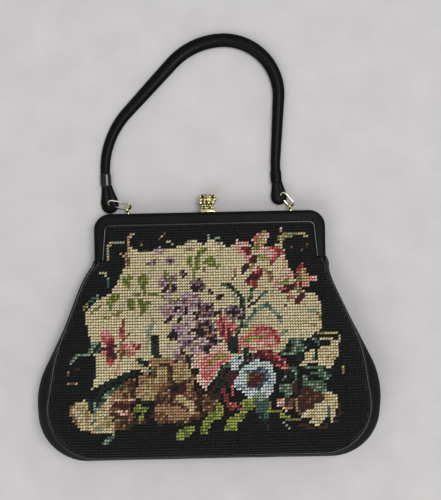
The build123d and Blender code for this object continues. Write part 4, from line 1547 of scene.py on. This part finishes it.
@dataclass
class StitchTree:
    """Geometry nodes that lay one slanted stitch on each point."""

    name: str = "tent_stitch"
    sizes: dict[str, float] = field(default_factory=lambda: {
        "Length": 1.38 * MM, "Width": 0.86 * MM, "Height": 0.6 * MM,
        "Slant": math.radians(37), "Spread": 0.16,
    })
    seed: int = 11

    def build(self) -> bpy.types.NodeTree:
        """Make the tree with its named inputs.

        Returns:
            The node tree.
        """
        group = bpy.data.node_groups.new(self.name, "GeometryNodeTree")
        face = group.interface
        face.new_socket("Geometry", in_out="INPUT", socket_type="NodeSocketGeometry")
        for name in self.sizes:
            face.new_socket(name, in_out="INPUT", socket_type="NodeSocketFloat")
        face.new_socket("Seed", in_out="INPUT", socket_type="NodeSocketInt")
        face.new_socket("Wool", in_out="INPUT", socket_type="NodeSocketMaterial")
        face.new_socket("Geometry", in_out="OUTPUT", socket_type="NodeSocketGeometry")
        tree = Tree(group)
        inputs = group.nodes.new("NodeGroupInput")
        given = {socket.name: Signal(group, socket) for socket in inputs.outputs if socket.name}
        ball = tree.add("GeometryNodeMeshIcoSphere", inputs={"Radius": 1.0, "Subdivisions": 1}, output="Mesh")
        plump = tree.add("GeometryNodeSetShadeSmooth", inputs={"Geometry": ball, "Shade Smooth": True})
        facing = tree.add("GeometryNodeInputNamedAttribute", {"data_type": "FLOAT_VECTOR"},
                          {"Name": "facing"})
        upright = tree.add("FunctionNodeAlignRotationToVector", {"axis": "Z"}, {"Vector": facing})
        stray = tree.add("FunctionNodeRandomValue", {"data_type": "FLOAT"},
                         {2: given["Spread"] * -1.0, 3: given["Spread"], "Seed": given["Seed"]}, output=1)
        slant = tree.add("FunctionNodeAxisAngleToRotation", inputs={"Axis": (0.0, 0.0, 1.0),
                                                                    "Angle": given["Slant"] + stray})
        turned = tree.add("FunctionNodeRotateRotation", {"rotation_space": "LOCAL"},
                          {"Rotation": upright, "Rotate By": slant})
        plumpness = stray * 0.4 + 1.0
        size = tree.add("ShaderNodeCombineXYZ", inputs={"X": given["Length"], "Y": given["Width"] * plumpness,
                                                        "Z": given["Height"] * plumpness})
        laid = tree.add("GeometryNodeInstanceOnPoints", inputs={
            "Points": given["Geometry"], "Instance": plump, "Rotation": turned, "Scale": size})
        real = tree.add("GeometryNodeRealizeInstances", inputs={"Geometry": laid})
        dressed = tree.add("GeometryNodeSetMaterial", inputs={"Geometry": real, "Material": given["Wool"]})
        tree.add("NodeGroupOutput", inputs={"Geometry": dressed})
        return group

    def lay(self, points: bpy.types.Object, name: str, material: bpy.types.Material) -> bpy.types.Object:
        """Lay the stitches on an object's points and keep them as a plain mesh.

        Args:
            points: Object whose vertices carry facing and colour.
            name: Name of the new object.
            material: The wool.

        Returns:
            The stitches, with the points' object removed.
        """
        group = self.build()
        modifier = points.modifiers.new("stitches", "NODES")
        modifier.node_group = group
        values = {**self.sizes, "Seed": self.seed, "Wool": material}
        for item in group.interface.items_tree:
            if item.in_out == "INPUT" and item.name in values:
                modifier[item.identifier] = values[item.name]
        ready = points.evaluated_get(bpy.context.evaluated_depsgraph_get())
        mesh = bpy.data.meshes.new_from_object(ready)
        points.modifiers.clear()
        bpy.data.objects.remove(points)
        mesh.name = name
        made = bpy.data.objects.new(name, mesh)
        bpy.context.scene.collection.objects.link(made)
        return made


@dataclass
class FrontPanel:
    """Needlepoint front: canvas in one piece from the frame to the bottom, and its stitches."""

    form: PouchForm
    chart: Chart
    insert_half: float
    insert_top: float
    insert_corner: float = 10 * MM
    canvas_thickness: float = 0.8 * MM
    column: float = 2.0 * MM
    row: float = 2.12 * MM
    stray: float = 0.06 * MM
    stitch_lift: float = 0.25 * MM
    seam: float = 1.2 * MM
    spare: Point = (8 * MM, 10 * MM)
    crown_share: float = 1.02
    bend: tuple[Place, Place] = ((0, -8 * MM, 0), (0, 4 * MM, 0))
    rings: int = 46
    ring_power: float = 1.5
    least_share: float = 0.002
    seed: int = 5

    @property
    def edge(self) -> np.ndarray:
        """Edge of the canvas in X and Y."""
        return self.form.panel_edge(self.insert_half, self.insert_top, self.insert_corner, 0)

    def canvas(self) -> bpy.types.Object:
        """Canvas, as rings from its edge to its middle, painted under the cream wool."""
        shares = 1 - (1 - np.linspace(0, 1, self.rings)) ** self.ring_power
        shares[0] = self.least_share
        rows = self.form.rings(self.edge, shares[::-1], lambda ring, share: self.form.front_height(*ring.T))
        made = Skin("needlepoint_canvas", rows, ring=True).sheet(self.canvas_thickness)
        points = np.array([vertex.co for vertex in made.data.vertices])
        paint = made.data.attributes.new(CANVAS.attribute, "FLOAT", "POINT")
        paint.data.foreach_set("value", self.chart.covered(points))
        return made

    def _places(self) -> np.ndarray:
        """Places of the stitches on the canvas, in rows and columns."""
        edge = self.edge
        low, high = edge.min(0), edge.max(0)
        grid = np.meshgrid(np.arange(low[0], high[0], self.column), np.arange(low[1], high[1], self.row))
        places = np.stack([line.ravel() for line in grid], axis=1)
        far, reach = reach_towards(edge, self.form.centre, places)
        return places[far < reach - self.seam]

    def stitches(self) -> bpy.types.Object:
        """Tent stitches in the chart's colours."""
        rng = np.random.default_rng(self.seed)
        places = self._places()
        places = places + rng.normal(0, self.stray, places.shape)
        x, y = places.T
        facing = self.form.front_normal(x, y)
        points = np.column_stack([places, self.form.front_height(x, y)]) + facing * self.stitch_lift
        cloud = new_object("stitch_places", points, [])
        ways = cloud.data.attributes.new("facing", "FLOAT_VECTOR", "POINT")
        ways.data.foreach_set("vector", facing.ravel())
        wool = cloud.data.attributes.new(NEEDLEPOINT.attribute, "FLOAT_COLOR", "POINT")
        wool.data.foreach_set("color", self.chart.colours(points, rng).ravel())
        return StitchTree().lay(cloud, "needlepoint_stitches", NEEDLEPOINT.material())

    def dress(self) -> None:
        """Make the canvas and the stitches."""
        fold = self.form.fold(self.bend)
        canvas = bend_piece(self.canvas(), CANVAS, fold,
                            "front_panel_lower", "front_panel_fold", "front_panel_upper")
        stitches = bend_piece(self.stitches(), NEEDLEPOINT, fold)
        flat, area = flat_size(self.edge, self.spare)
        area * self.crown_share


@dataclass
class Pouch:
    """Gusset, back panel, piping and lining of the pouch."""

    form: PouchForm
    insert_half: float
    insert_top: float
    insert_corner: float = 10 * MM
    wall: float = 1.5 * MM
    sheet_thickness: float = 1.2 * MM
    lining_thickness: float = 0.5 * MM
    lining_gap: float = 0.6 * MM
    lining_margin: float = 1 * MM
    piping_radius: float = 1.4 * MM
    piping_proud: float = 0.8 * MM
    piping_sink: float = 1.0 * MM
    piping_waves: Point = (0.03, 2.1)
    tuck: tuple[Place, ...] = ((2.0 * MM, 5.0 * MM, -0.4 * MM), (1.0 * MM, 2.6 * MM, -0.2 * MM))
    ramp: Point = (14 * MM, 6 * MM)
    step: float = 2 * MM
    sag: float = 0.5 * MM
    waves: int = 5
    wave_pace: float = 45.0
    wave_turn: float = 6.28
    end_rise: float = 4.2 * MM
    end_reach: float = 9 * MM
    spare: Point = (6 * MM, 6 * MM)
    gusset_spare: Point = (12 * MM, 10 * MM)
    gusset_share: float = 0.72
    lining_shares: Point = (0.70, 0.97)
    bend: tuple[Place, Place] = ((0, -11 * MM, 0), (0, 1 * MM, 9 * MM))
    columns: int = 280
    rows: int = 22
    rings: int = 34
    least_share: float = 0.003
    seed: int = 23

    def _wall_rows(self, inset: float, low: float, rise: float, waver: float) -> np.ndarray:
        """Rows of the side wall from the back rim over the bulge to the front rim.

        Args:
            inset: Distance inside the pouch's outlines.
            low: Height of the back edge.
            rise: Distance of the front edge above the front plane.
            waver: Depth of the soft dents in the wall.

        Returns:
            Rows of points.
        """
        back = self.form.level(self.form.rim.path(inset, self.columns), low)
        middle = self.form.middle(self.form.bulge.path(inset, self.columns))
        front = self.form.front(self.form.rim.path(inset, self.columns), rise)
        steer = 2 * middle - (back + front) / 2
        place = np.linspace(0, 1, self.columns)
        ends = np.minimum(place, 1 - place) * way_along(front)[-1]
        rng = np.random.default_rng(self.seed)
        dents = sum(rng.normal(0, 1) * np.sin(2 * math.pi * (n * place + rng.random())) / n ** 0.5
                    for n in range(2, 14))
        rows = []
        for share in np.linspace(0, 1, self.rows):
            row = (1 - share) ** 2 * back + 2 * share * (1 - share) * steer + share ** 2 * front
            way = np.gradient(row[:, :2], axis=0)
            out = np.stack([way[:, 1], -way[:, 0]], axis=1)
            out /= np.linalg.norm(out, axis=1, keepdims=True)
            soft = waver * math.sin(math.pi * share) * np.sin(math.pi * place) * dents
            row[:, :2] -= out * np.abs(soft)[:, None] / 2
            row[:, 1] += self.end_rise * abs(2 * share - 1) * np.clip(1 - ends / self.end_reach, 0, 1)
            rows.append(row)
        return np.array(rows)

    def gusset(self) -> bpy.types.Object:
        """Ribbed side wall."""
        rows = self._wall_rows(inset=0.0, low=1.5 * MM, rise=-1.5 * MM, waver=0.5 * MM)
        return Skin("gusset_cloth", rows).sheet(self.wall)

    def _back_rows(self, low: float, inset: float, insert_half: float) -> np.ndarray:
        """Rings of a sheet along the back, from its edge to its middle.

        Args:
            low: Height of the sheet at the bottom of the bag.
            inset: Distance inside the rim.
            insert_half: Half width inside the frame.

        Returns:
            Rows of points.
        """
        edge = self.form.panel_edge(insert_half, self.insert_top, self.insert_corner, inset)
        hinge, (far, near) = self.form.hinge.y, self.ramp
        rng = np.random.default_rng(self.seed)
        waves = [(rng.normal(0, self.wave_pace, 2), rng.random() * self.wave_turn) for _ in range(self.waves)]

        def height(ring: np.ndarray, share: float) -> np.ndarray:
            """Heights of a ring's places.

            Args:
                ring: The places in X and Y.
                share: The ring's size.

            Returns:
                The heights, with the rise to the frame and soft waves.
            """
            lift = np.clip((ring[:, 1] - hinge + far) / (far - near), 0, 1) * self.step
            soft = sum(0.5 + 0.5 * np.sin(ring @ way + phase) for way, phase in waves) / len(waves)
            return low + lift + self.sag * soft * (1 - share ** 4)

        return self.form.rings(edge, np.linspace(1, self.least_share, self.rings), height)

    def back_panel(self) -> bpy.types.Object:
        """Back panel, flat on the surface below the hinge line."""
        low = self.sheet_thickness + 0.1 * MM
        rows = self._back_rows(low, inset=0.2 * MM, insert_half=self.insert_half)
        return Skin("back_panel_cloth", rows, ring=True).sheet(self.sheet_thickness)

    def piping(self, name: str, line: np.ndarray) -> bpy.types.Object:
        """Leather cord along a seam, with the slight waves of its stitching.

        Args:
            name: Object name.
            line: Points along its middle.

        Returns:
            The cord.
        """
        height, pace = self.piping_waves
        radius = self.piping_radius * (1 + height * np.sin(np.arange(len(line)) * pace))
        return Skin(name, tube_rows(line, radius, radius, 12), ring=True).solid()

    def lining(self) -> list[bpy.types.Object]:
        """Side wall, back sheet and front sheet of the lining."""
        inset, half = self.wall + self.lining_gap, self.insert_half - self.lining_margin
        top, corner = self.insert_top - self.lining_margin, self.insert_corner - self.lining_margin
        side = self._wall_rows(inset, low=2.6 * MM, rise=-2.6 * MM, waver=0.9 * MM)
        back = self._back_rows(low=2.7 * MM, inset=inset, insert_half=half)
        edge = self.form.panel_edge(half, top, corner, inset)
        hinge, low, slope = self.form.hinge.y, self.form.face - 2.1 * MM, math.tan(self.form.tilt)
        front = self.form.rings(edge, np.linspace(1, self.least_share, self.rings),
                                lambda ring, share: low + np.maximum(hinge - ring[:, 1], 0) * slope)
        sheets = (("lining_sides", side, False), ("lining_back", back, True), ("lining_front", front, True))
        return [Skin(name, rows, ring).sheet(self.lining_thickness) for name, rows, ring in sheets]

    def dress(self) -> None:
        """Make the pouch's cloth and piping."""
        fold = self.form.fold(self.bend)
        gusset = bend_piece(self.gusset(), FAILLE, fold, "gusset")
        rim = self.form.rim.path(-self.piping_proud, 420)
        length, width = float(way_along(rim)[-1]), self.form.depth + self.gusset_spare[0]
        cut_length = length + self.gusset_spare[1]
        self.gusset_share * width * cut_length
        back = place_piece(self.back_panel(), FAILLE, Body.BAG, "back_panel")
        flat, area = flat_size(self.form.panel_edge(self.insert_half, self.insert_top, self.insert_corner, 0),
                               self.spare)
        line = self.form.front(rim, -self.piping_sink)
        tuck = np.array(self.tuck)
        line = np.vstack([line[0] + tuck, line, (line[-1] + tuck * (-1, 1, 1))[::-1]])
        bend_piece(self.piping("front_piping_cord", line), PIPING_LEATHER, fold, "front_piping")
        line = self.form.level(rim, self.piping_radius + 0.2 * MM)
        place_piece(self.piping("back_piping_cord", line), PIPING_LEATHER, Body.BAG, "back_piping")
        side, lining_back, lining_front = self.lining()
        bend_piece(side, SATIN, fold, "lining")
        place_piece(lining_back, SATIN, Body.BAG, "back_lining")
        bend_piece(lining_front, SATIN, fold, "front_lining_upper")
        side_share, sheet_share = self.lining_shares
        side_share * width * length
        for sheet in (lining_back, lining_front):
            area * sheet_share


@dataclass
class FrameAndHinge:
    """Rigid frame: its CAD solids stay and get their finishes."""

    finishes: dict[Finish, tuple[str, ...]] = field(default_factory=lambda: {
        FRAME_LEATHER: ("front_frame_cover", "rear_frame_cover"),
        BEAD_LEATHER: ("front_frame_bead", "rear_frame_bead"),
        FRAME_BRASS: ("front_frame_channel", "rear_frame_channel", "left_hinge_rivet", "right_hinge_rivet"),
        CLASP_GOLD: ("left_handle_loop", "right_handle_loop"),
        LINK_METAL: ("left_handle_link", "right_handle_link"),
    })

    def dress(self) -> None:
        """Give the kept solids their materials."""
        for finish, nodes in self.finishes.items():
            for node in nodes:
                solid = frame["nodes"][node]
                solid.data.materials.clear()
                solid.data.materials.append(finish.material())
                LOG.info("%s keeps its solid, as %s", node, finish.name)


@dataclass
class ClaspBud:
    """One cast bud of the kiss-lock, on its foot, covered in small grains."""

    node: str
    body: Body
    side: Side
    middle: float = -1.0 * MM
    spacing: float = 6.2 * MM
    waist_spacing: float = 4.2 * MM
    height: float = 14.0 * MM
    lean: float = 3.4 * MM
    radius: float = 3.2 * MM
    foot_length: float = 10.4 * MM
    foot_shift: float = 0.4 * MM
    foot_width: float = 6.4 * MM
    foot_thickness: float = 2.2 * MM
    foot_bevel: float = 0.3 * MM
    rib_thickness: float = 0.8 * MM
    foot_grains: int = 8
    foot_grain: float = 0.68 * MM
    foot_grain_level: float = 1.45 * MM
    foot_end: float = 0.7 * MM
    turns: int = 32
    levels: int = 30
    grain_faces: int = 2
    seed: int = 3
    grain_rows: tuple[tuple[float, int, float], ...] = (
        (0.24, 5, 0.85), (0.37, 5, 0.95), (0.53, 4, 1.3), (0.7, 5, 1.4), (0.86, 4, 1.2), (0.95, 2, 0.9))
    heights: tuple[float, ...] = (0.14, 0.3, 0.42, 0.55, 0.78, 0.93, 1.0)
    widths: tuple[float, ...] = (0.86, 0.6, 0.66, 0.9, 0.96, 0.74, 0.42)
    spreads: tuple[float, ...] = (0.2, 0.0, 0.1, 0.7, 1.0, 0.85, 0.7)

    def foot_y(self) -> float:
        """Where the foot stands on the frame."""
        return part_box(self.node)[0].y

    def foot_z(self) -> float:
        """Height of the middle of the foot."""
        low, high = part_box(self.node)
        inset = self.foot_width / 2
        return high.z - inset if self.body is Body.FRONT else low.z + inset

    def foot_x(self) -> Point:
        """Left and right end of the foot."""
        centre = self.middle + self.side.value * self.foot_shift
        return centre - self.foot_length / 2, centre + self.foot_length / 2

    def axis(self, level: float) -> Vector:
        """Middle of the bud at a share of its height.

        Args:
            level: 0 at the frame, 1 at the top.

        Returns:
            The point.
        """
        spread = float(np.interp(level, self.heights, self.spreads))
        reach = self.waist_spacing + spread * (self.spacing - self.waist_spacing)
        lean = -self.lean if self.body is Body.FRONT else self.lean
        x = self.middle + self.side.value * reach / 2
        return Vector((x, self.foot_y() + level * self.height, self.foot_z() + lean * min(1.0, 2 * level)))

    def core(self) -> bpy.types.Object:
        """Core that the grains stand on, darkened by painted shade."""
        turn = np.linspace(0, 2 * math.pi, self.turns, endpoint=False)
        rows = []
        for level in np.linspace(self.heights[0], 1.0, self.levels):
            reach = np.interp(level, self.heights, self.widths) * self.radius
            lobe = 1 + 0.06 * np.cos(6 * turn)
            centre = self.axis(level)
            rows.append(np.stack([centre.x + reach * lobe * np.cos(turn), np.full(self.turns, centre.y),
                                  centre.z + reach * lobe * np.sin(turn)], axis=1))
        return Skin(self.node + "_cast", np.array(rows), ring=True).solid()

    def grains(self) -> list[tuple[Vector, float]]:
        """Centres and radii of the grains on the bud and along its foot."""
        rng = np.random.default_rng(self.seed + self.side.value)
        found = []
        for level, count, grain in self.grain_rows:
            width = float(np.interp(level, self.heights, self.widths))
            reach = width * self.radius * (0.96 if level < 0.9 else 0.7)
            shift = rng.random()
            for n in range(count):
                turn = 2 * math.pi * (n + shift + rng.normal(0, 0.08)) / count
                offset = Vector((math.cos(turn), 0, math.sin(turn))) * reach
                found.append((self.axis(level) + offset, grain * (1 + rng.normal(0, 0.16)) * MM))
        left, right = self.foot_x()
        for x in np.linspace(left + self.foot_end, right - self.foot_end, self.foot_grains):
            for z in (self.foot_z() - self.foot_width / 2, self.foot_z() + self.foot_width / 2):
                found.append((Vector((x, self.foot_y() + self.foot_grain_level, z)), self.foot_grain))
        return found

    def foot(self, work: bmesh.types.BMesh) -> None:
        """Add the foot plate with softened edges, and a rib along its bottom.

        Args:
            work: Mesh that the plate is added to.
        """
        left, right = self.foot_x()
        plate = (self.foot_thickness, self.foot_width - 2 * self.foot_bevel)
        for thickness, width in (plate, (self.rib_thickness, self.foot_width)):
            made = bmesh.ops.create_cube(work, size=1.0)["verts"]
            for vert in made:
                vert.co.x = (left + right) / 2 + vert.co.x * (right - left)
                vert.co.y = self.foot_y() + (0.5 + vert.co.y) * thickness
                vert.co.z = self.foot_z() + vert.co.z * width
            edges = list({edge for vert in made for edge in vert.link_edges})
            bmesh.ops.bevel(work, geom=edges, offset=self.foot_bevel, segments=3, affect="EDGES", profile=0.5)

    def dress(self) -> None:
        """Join the core, its grains and its foot, and let them ride."""
        made = self.core()
        work = bmesh.new()
        work.from_mesh(made.data)
        dark = len(work.verts)
        for centre, grain in self.grains():
            ball = bmesh.ops.create_icosphere(work, subdivisions=self.grain_faces, radius=grain)["verts"]
            bmesh.ops.translate(work, verts=ball, vec=centre)
        self.foot(work)
        for face in work.faces:
            face.smooth = True
        work.to_mesh(made.data)
        work.free()
        # Painted shade on the core's points, so the gaps between the grains render dark.
        crevice_shade = np.zeros(len(made.data.vertices))
        crevice_shade[:dark] = 1.0
        made.data.attributes.new(CLASP_GOLD.shade_attribute, "FLOAT", "POINT").data.foreach_set("value", crevice_shade)
        place_piece(made, CLASP_GOLD, self.body, self.node)


@dataclass
class Handle:
    """Rolled leather strap with its keepers and folded tabs."""

    route: tuple[Point, ...] = ((-80.6, 133.5), (-81.8, 170.5), (-10.4, 246.0), (59.3, 246.0), (52.4, 147.0),
                                (53.2, 133.5))
    bends: tuple[float, ...] = (66.0, 56.0, 43.0, 90.0)
    level: float = 3.4 * MM
    end_half: float = 3.6 * MM
    top_half: float = 5.3 * MM
    half_height: float = 3.2 * MM
    keeper_length: float = 9.5 * MM
    keeper_wall: float = 0.75 * MM
    tab_level: float = 3.0 * MM
    tab_half_height: float = 2.75 * MM
    tabs: tuple[tuple[Side, Point, float], ...] = (
        (Side.LEFT, (-77.9, 118.6), 6.8), (Side.RIGHT, (55.0, 122.2), 6.2))
    crease_depth: float = 0.26
    crease_width: float = 0.16
    ridge_height: float = 0.06
    squareness: float = 0.9
    rings: int = 180
    sides: int = 24

    def line(self) -> np.ndarray:
        """Points along the strap, evenly spaced."""
        flat = even_path(rounded_path(self.route, self.bends, 40) * MM, self.rings)
        return np.column_stack([flat, np.full(self.rings, self.level)])

    def halves(self) -> np.ndarray:
        """Half width along the strap, widest at the top."""
        place = np.linspace(0, 1, self.rings)
        swell = np.sin(math.pi * place) ** 1.4
        return self.end_half + (self.top_half - self.end_half) * swell

    def strap(self) -> bpy.types.Object:
        """Strap, with a sewn ridge along its inner side."""
        line = self.line()
        high = np.full(self.rings, self.half_height)
        rows = tube_rows(line, self.halves(), high, self.sides, self.squareness)
        middle = line[:, None]
        ridge = 1 + self.ridge_height * np.exp(-(np.arange(self.sides) - self.sides / 2) ** 2)
        return Skin("handle_strap_roll", middle + (rows - middle) * ridge[None, :, None], ring=True).solid()

    def keeper(self, side: Side) -> bpy.types.Object:
        """Band wrapped round one end of the strap, with rolled edges.

        Args:
            side: Which end.

        Returns:
            The band.
        """
        line = self.line() if side is Side.LEFT else self.line()[::-1]
        places = np.linspace(-0.6 * MM, self.keeper_length, 14)
        start = line[0] - (line[1] - line[0]) / np.linalg.norm(line[1] - line[0]) * 2 * MM
        way, line = np.append(-2 * MM, way_along(line)), np.vstack([start, line])
        path = np.stack([np.interp(places, way, line[:, n]) for n in range(3)], axis=1)
        roll = np.clip(np.minimum(places - places[0], places[-1] - places) / (1.2 * MM), 0, 1)
        wall = self.keeper_wall * (0.25 + 0.75 * np.sqrt(1 - (1 - roll) ** 2))
        high = self.half_height - 0.15 * MM + np.minimum(wall, 0.3 * MM)
        rows = tube_rows(path, self.end_half + wall, high, 28, self.squareness)
        return Skin(f"{side.name.lower()}_handle_keeper_band", rows, ring=True).solid()

    def tab(self, side: Side, belly: Point, radius: float) -> bpy.types.Object:
        """Leather folded round the end of a link, creased down its middle.

        Args:
            side: Which end of the strap.
            belly: Middle of the tab's round end, in millimetres.
            radius: Radius of that end, in millimetres.

        Returns:
            The tab.
        """
        end = self.route[0] if side is Side.LEFT else self.route[-1]
        top, bottom, radius = np.array(end) * MM + np.array([0, 3 * MM]), np.array(belly) * MM, radius * MM
        bottom = bottom + (bottom - top) / np.linalg.norm(bottom - top) * radius
        length = np.linalg.norm(bottom - top)
        turn = np.linspace(0, 2 * math.pi, 40, endpoint=False)
        wide, up = (np.sign(f(turn)) * np.abs(f(turn)) ** 0.8 for f in (np.cos, np.sin))
        fold = np.exp(-(np.cos(turn) / self.crease_width) ** 2)
        across = np.array([bottom[1] - top[1], -(bottom[0] - top[0])]) / length
        shares = np.concatenate([np.linspace(0, 0.8, 18), 1 - 0.2 * (1 - np.linspace(0.1, 0.985, 14)) ** 1.6])
        rows = []
        for share in shares:
            past = max(0.0, (share * length - (length - radius)) / radius)
            round_end = max(0.0, 1 - past ** 2) ** 0.5
            half = (self.end_half + (radius - self.end_half) * min(1.0, (share / 0.6)) ** 1.3) * round_end
            high = self.tab_half_height * (0.35 + 0.65 * round_end)
            crease = self.crease_depth * math.sin(math.pi * min(1.0, share * 1.1)) * fold
            flat = top + share * (bottom - top) + np.outer(half * wide, across)
            rows.append(np.column_stack([flat, self.tab_level + high * up * (1 - crease)]))
        return Skin(f"{side.name.lower()}_handle_tab_fold", np.array(rows), ring=True).solid()

    def dress(self) -> None:
        """Make the strap, its keepers and its tabs."""
        place_piece(self.strap(), HANDLE_LEATHER, Body.HANDLE, "handle_strap")
        for side, belly, radius in self.tabs:
            word = side.name.lower()
            wax = KEEPER_LEATHER if side is Side.LEFT else HANDLE_LEATHER
            place_piece(self.keeper(side), wax, Body.HANDLE, f"{word}_handle_keeper")
            place_piece(self.tab(side, belly, radius), HANDLE_LEATHER, Body.HANDLE, f"{word}_handle_tab")


@dataclass
class Studio:
    """Floor, soft light and a camera straight above the bag."""

    eye: Vector
    view_height: float = 385 * MM
    view_level: float = 20 * MM
    roll: float = math.radians(-1.19)
    sensor: float = 36.0
    floor_half: float = 3.0
    sky: Colour = (0.97, 0.98, 1.0)
    sky_strength: float = 0.5
    target: Place = (0, 0.05, 0.02)
    lamps: tuple[tuple[str, Place, float, float], ...] = (
        ("key", (0.55, 0.25, 2.2), 0.9, 22.0), ("fill", (-0.8, -1.3, 1.7), 1.4, 13.0))

    def camera(self) -> None:
        """Camera at the photograph's angle."""
        data = bpy.data.cameras.new("camera")
        data.sensor_width = self.sensor
        data.lens = self.sensor * (self.eye.z - self.view_level) / self.view_height
        data.clip_start, data.clip_end = 0.01, 20.0
        made = bpy.data.objects.new("camera", data)
        made.location = self.eye
        made.rotation_euler = (0, 0, self.roll)
        bpy.context.scene.collection.objects.link(made)
        bpy.context.scene.camera = made

    def floor(self) -> None:
        """Plain pale floor."""
        half = self.floor_half
        corners = [(-half, -half, 0), (half, -half, 0), (half, half, 0), (-half, half, 0)]
        made = new_object("floor", np.array(corners), [(0, 1, 2, 3)])
        made.data.materials.append(FLOOR.material())

    def light(self, name: str, place: Place, size: float, power: float) -> None:
        """Soft lamp that faces the bag.

        Args:
            name: Lamp name.
            place: Where it hangs.
            size: Side of the square lamp.
            power: Watts.
        """
        data = bpy.data.lights.new(name, "AREA")
        data.size = size
        data.energy = power
        made = bpy.data.objects.new(name, data)
        made.location = place
        made.rotation_euler = (Vector(self.target) - made.location).to_track_quat("-Z", "Y").to_euler()
        bpy.context.scene.collection.objects.link(made)

    def dress(self) -> None:
        """Set up the floor, the lights, the world and the camera."""
        self.floor()
        for lamp in self.lamps:
            self.light(*lamp)
        world = bpy.data.worlds.new("studio")
        world.use_nodes = True
        backdrop = world.node_tree.nodes["Background"]
        backdrop.inputs["Color"].default_value = (*self.sky, 1.0)
        backdrop.inputs["Strength"].default_value = self.sky_strength
        bpy.context.scene.world = world
        bpy.context.scene.view_settings.view_transform = "Standard"
        self.camera()


def main() -> None:
    """Build the bag's pieces in order and report them."""
    logging.basicConfig(level=logging.INFO, format="%(name)s: %(message)s")
    hinge = next(joint for joint in frame["joints"] if joint["name"] == "frame_open")
    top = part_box("front_panel_upper")[1]
    form = PouchForm(hinge=Vector(hinge["pos_m"]), face=top.z, depth=POUCH_DEPTH)
    insert_half, insert_top = (size - gap for size, gap in zip(top, INSERT_GAPS))
    Studio(EYE).dress()
    FrontPanel(form, Chart(EYE), insert_half, insert_top).dress()
    Pouch(form, insert_half, insert_top).dress()
    FrameAndHinge().dress()
    ClaspBud("front_clasp_bud", Body.FRONT, Side.LEFT).dress()
    ClaspBud("rear_clasp_bud", Body.BAG, Side.RIGHT).dress()
    Handle().dress()


if __name__ == "__main__":
    main()
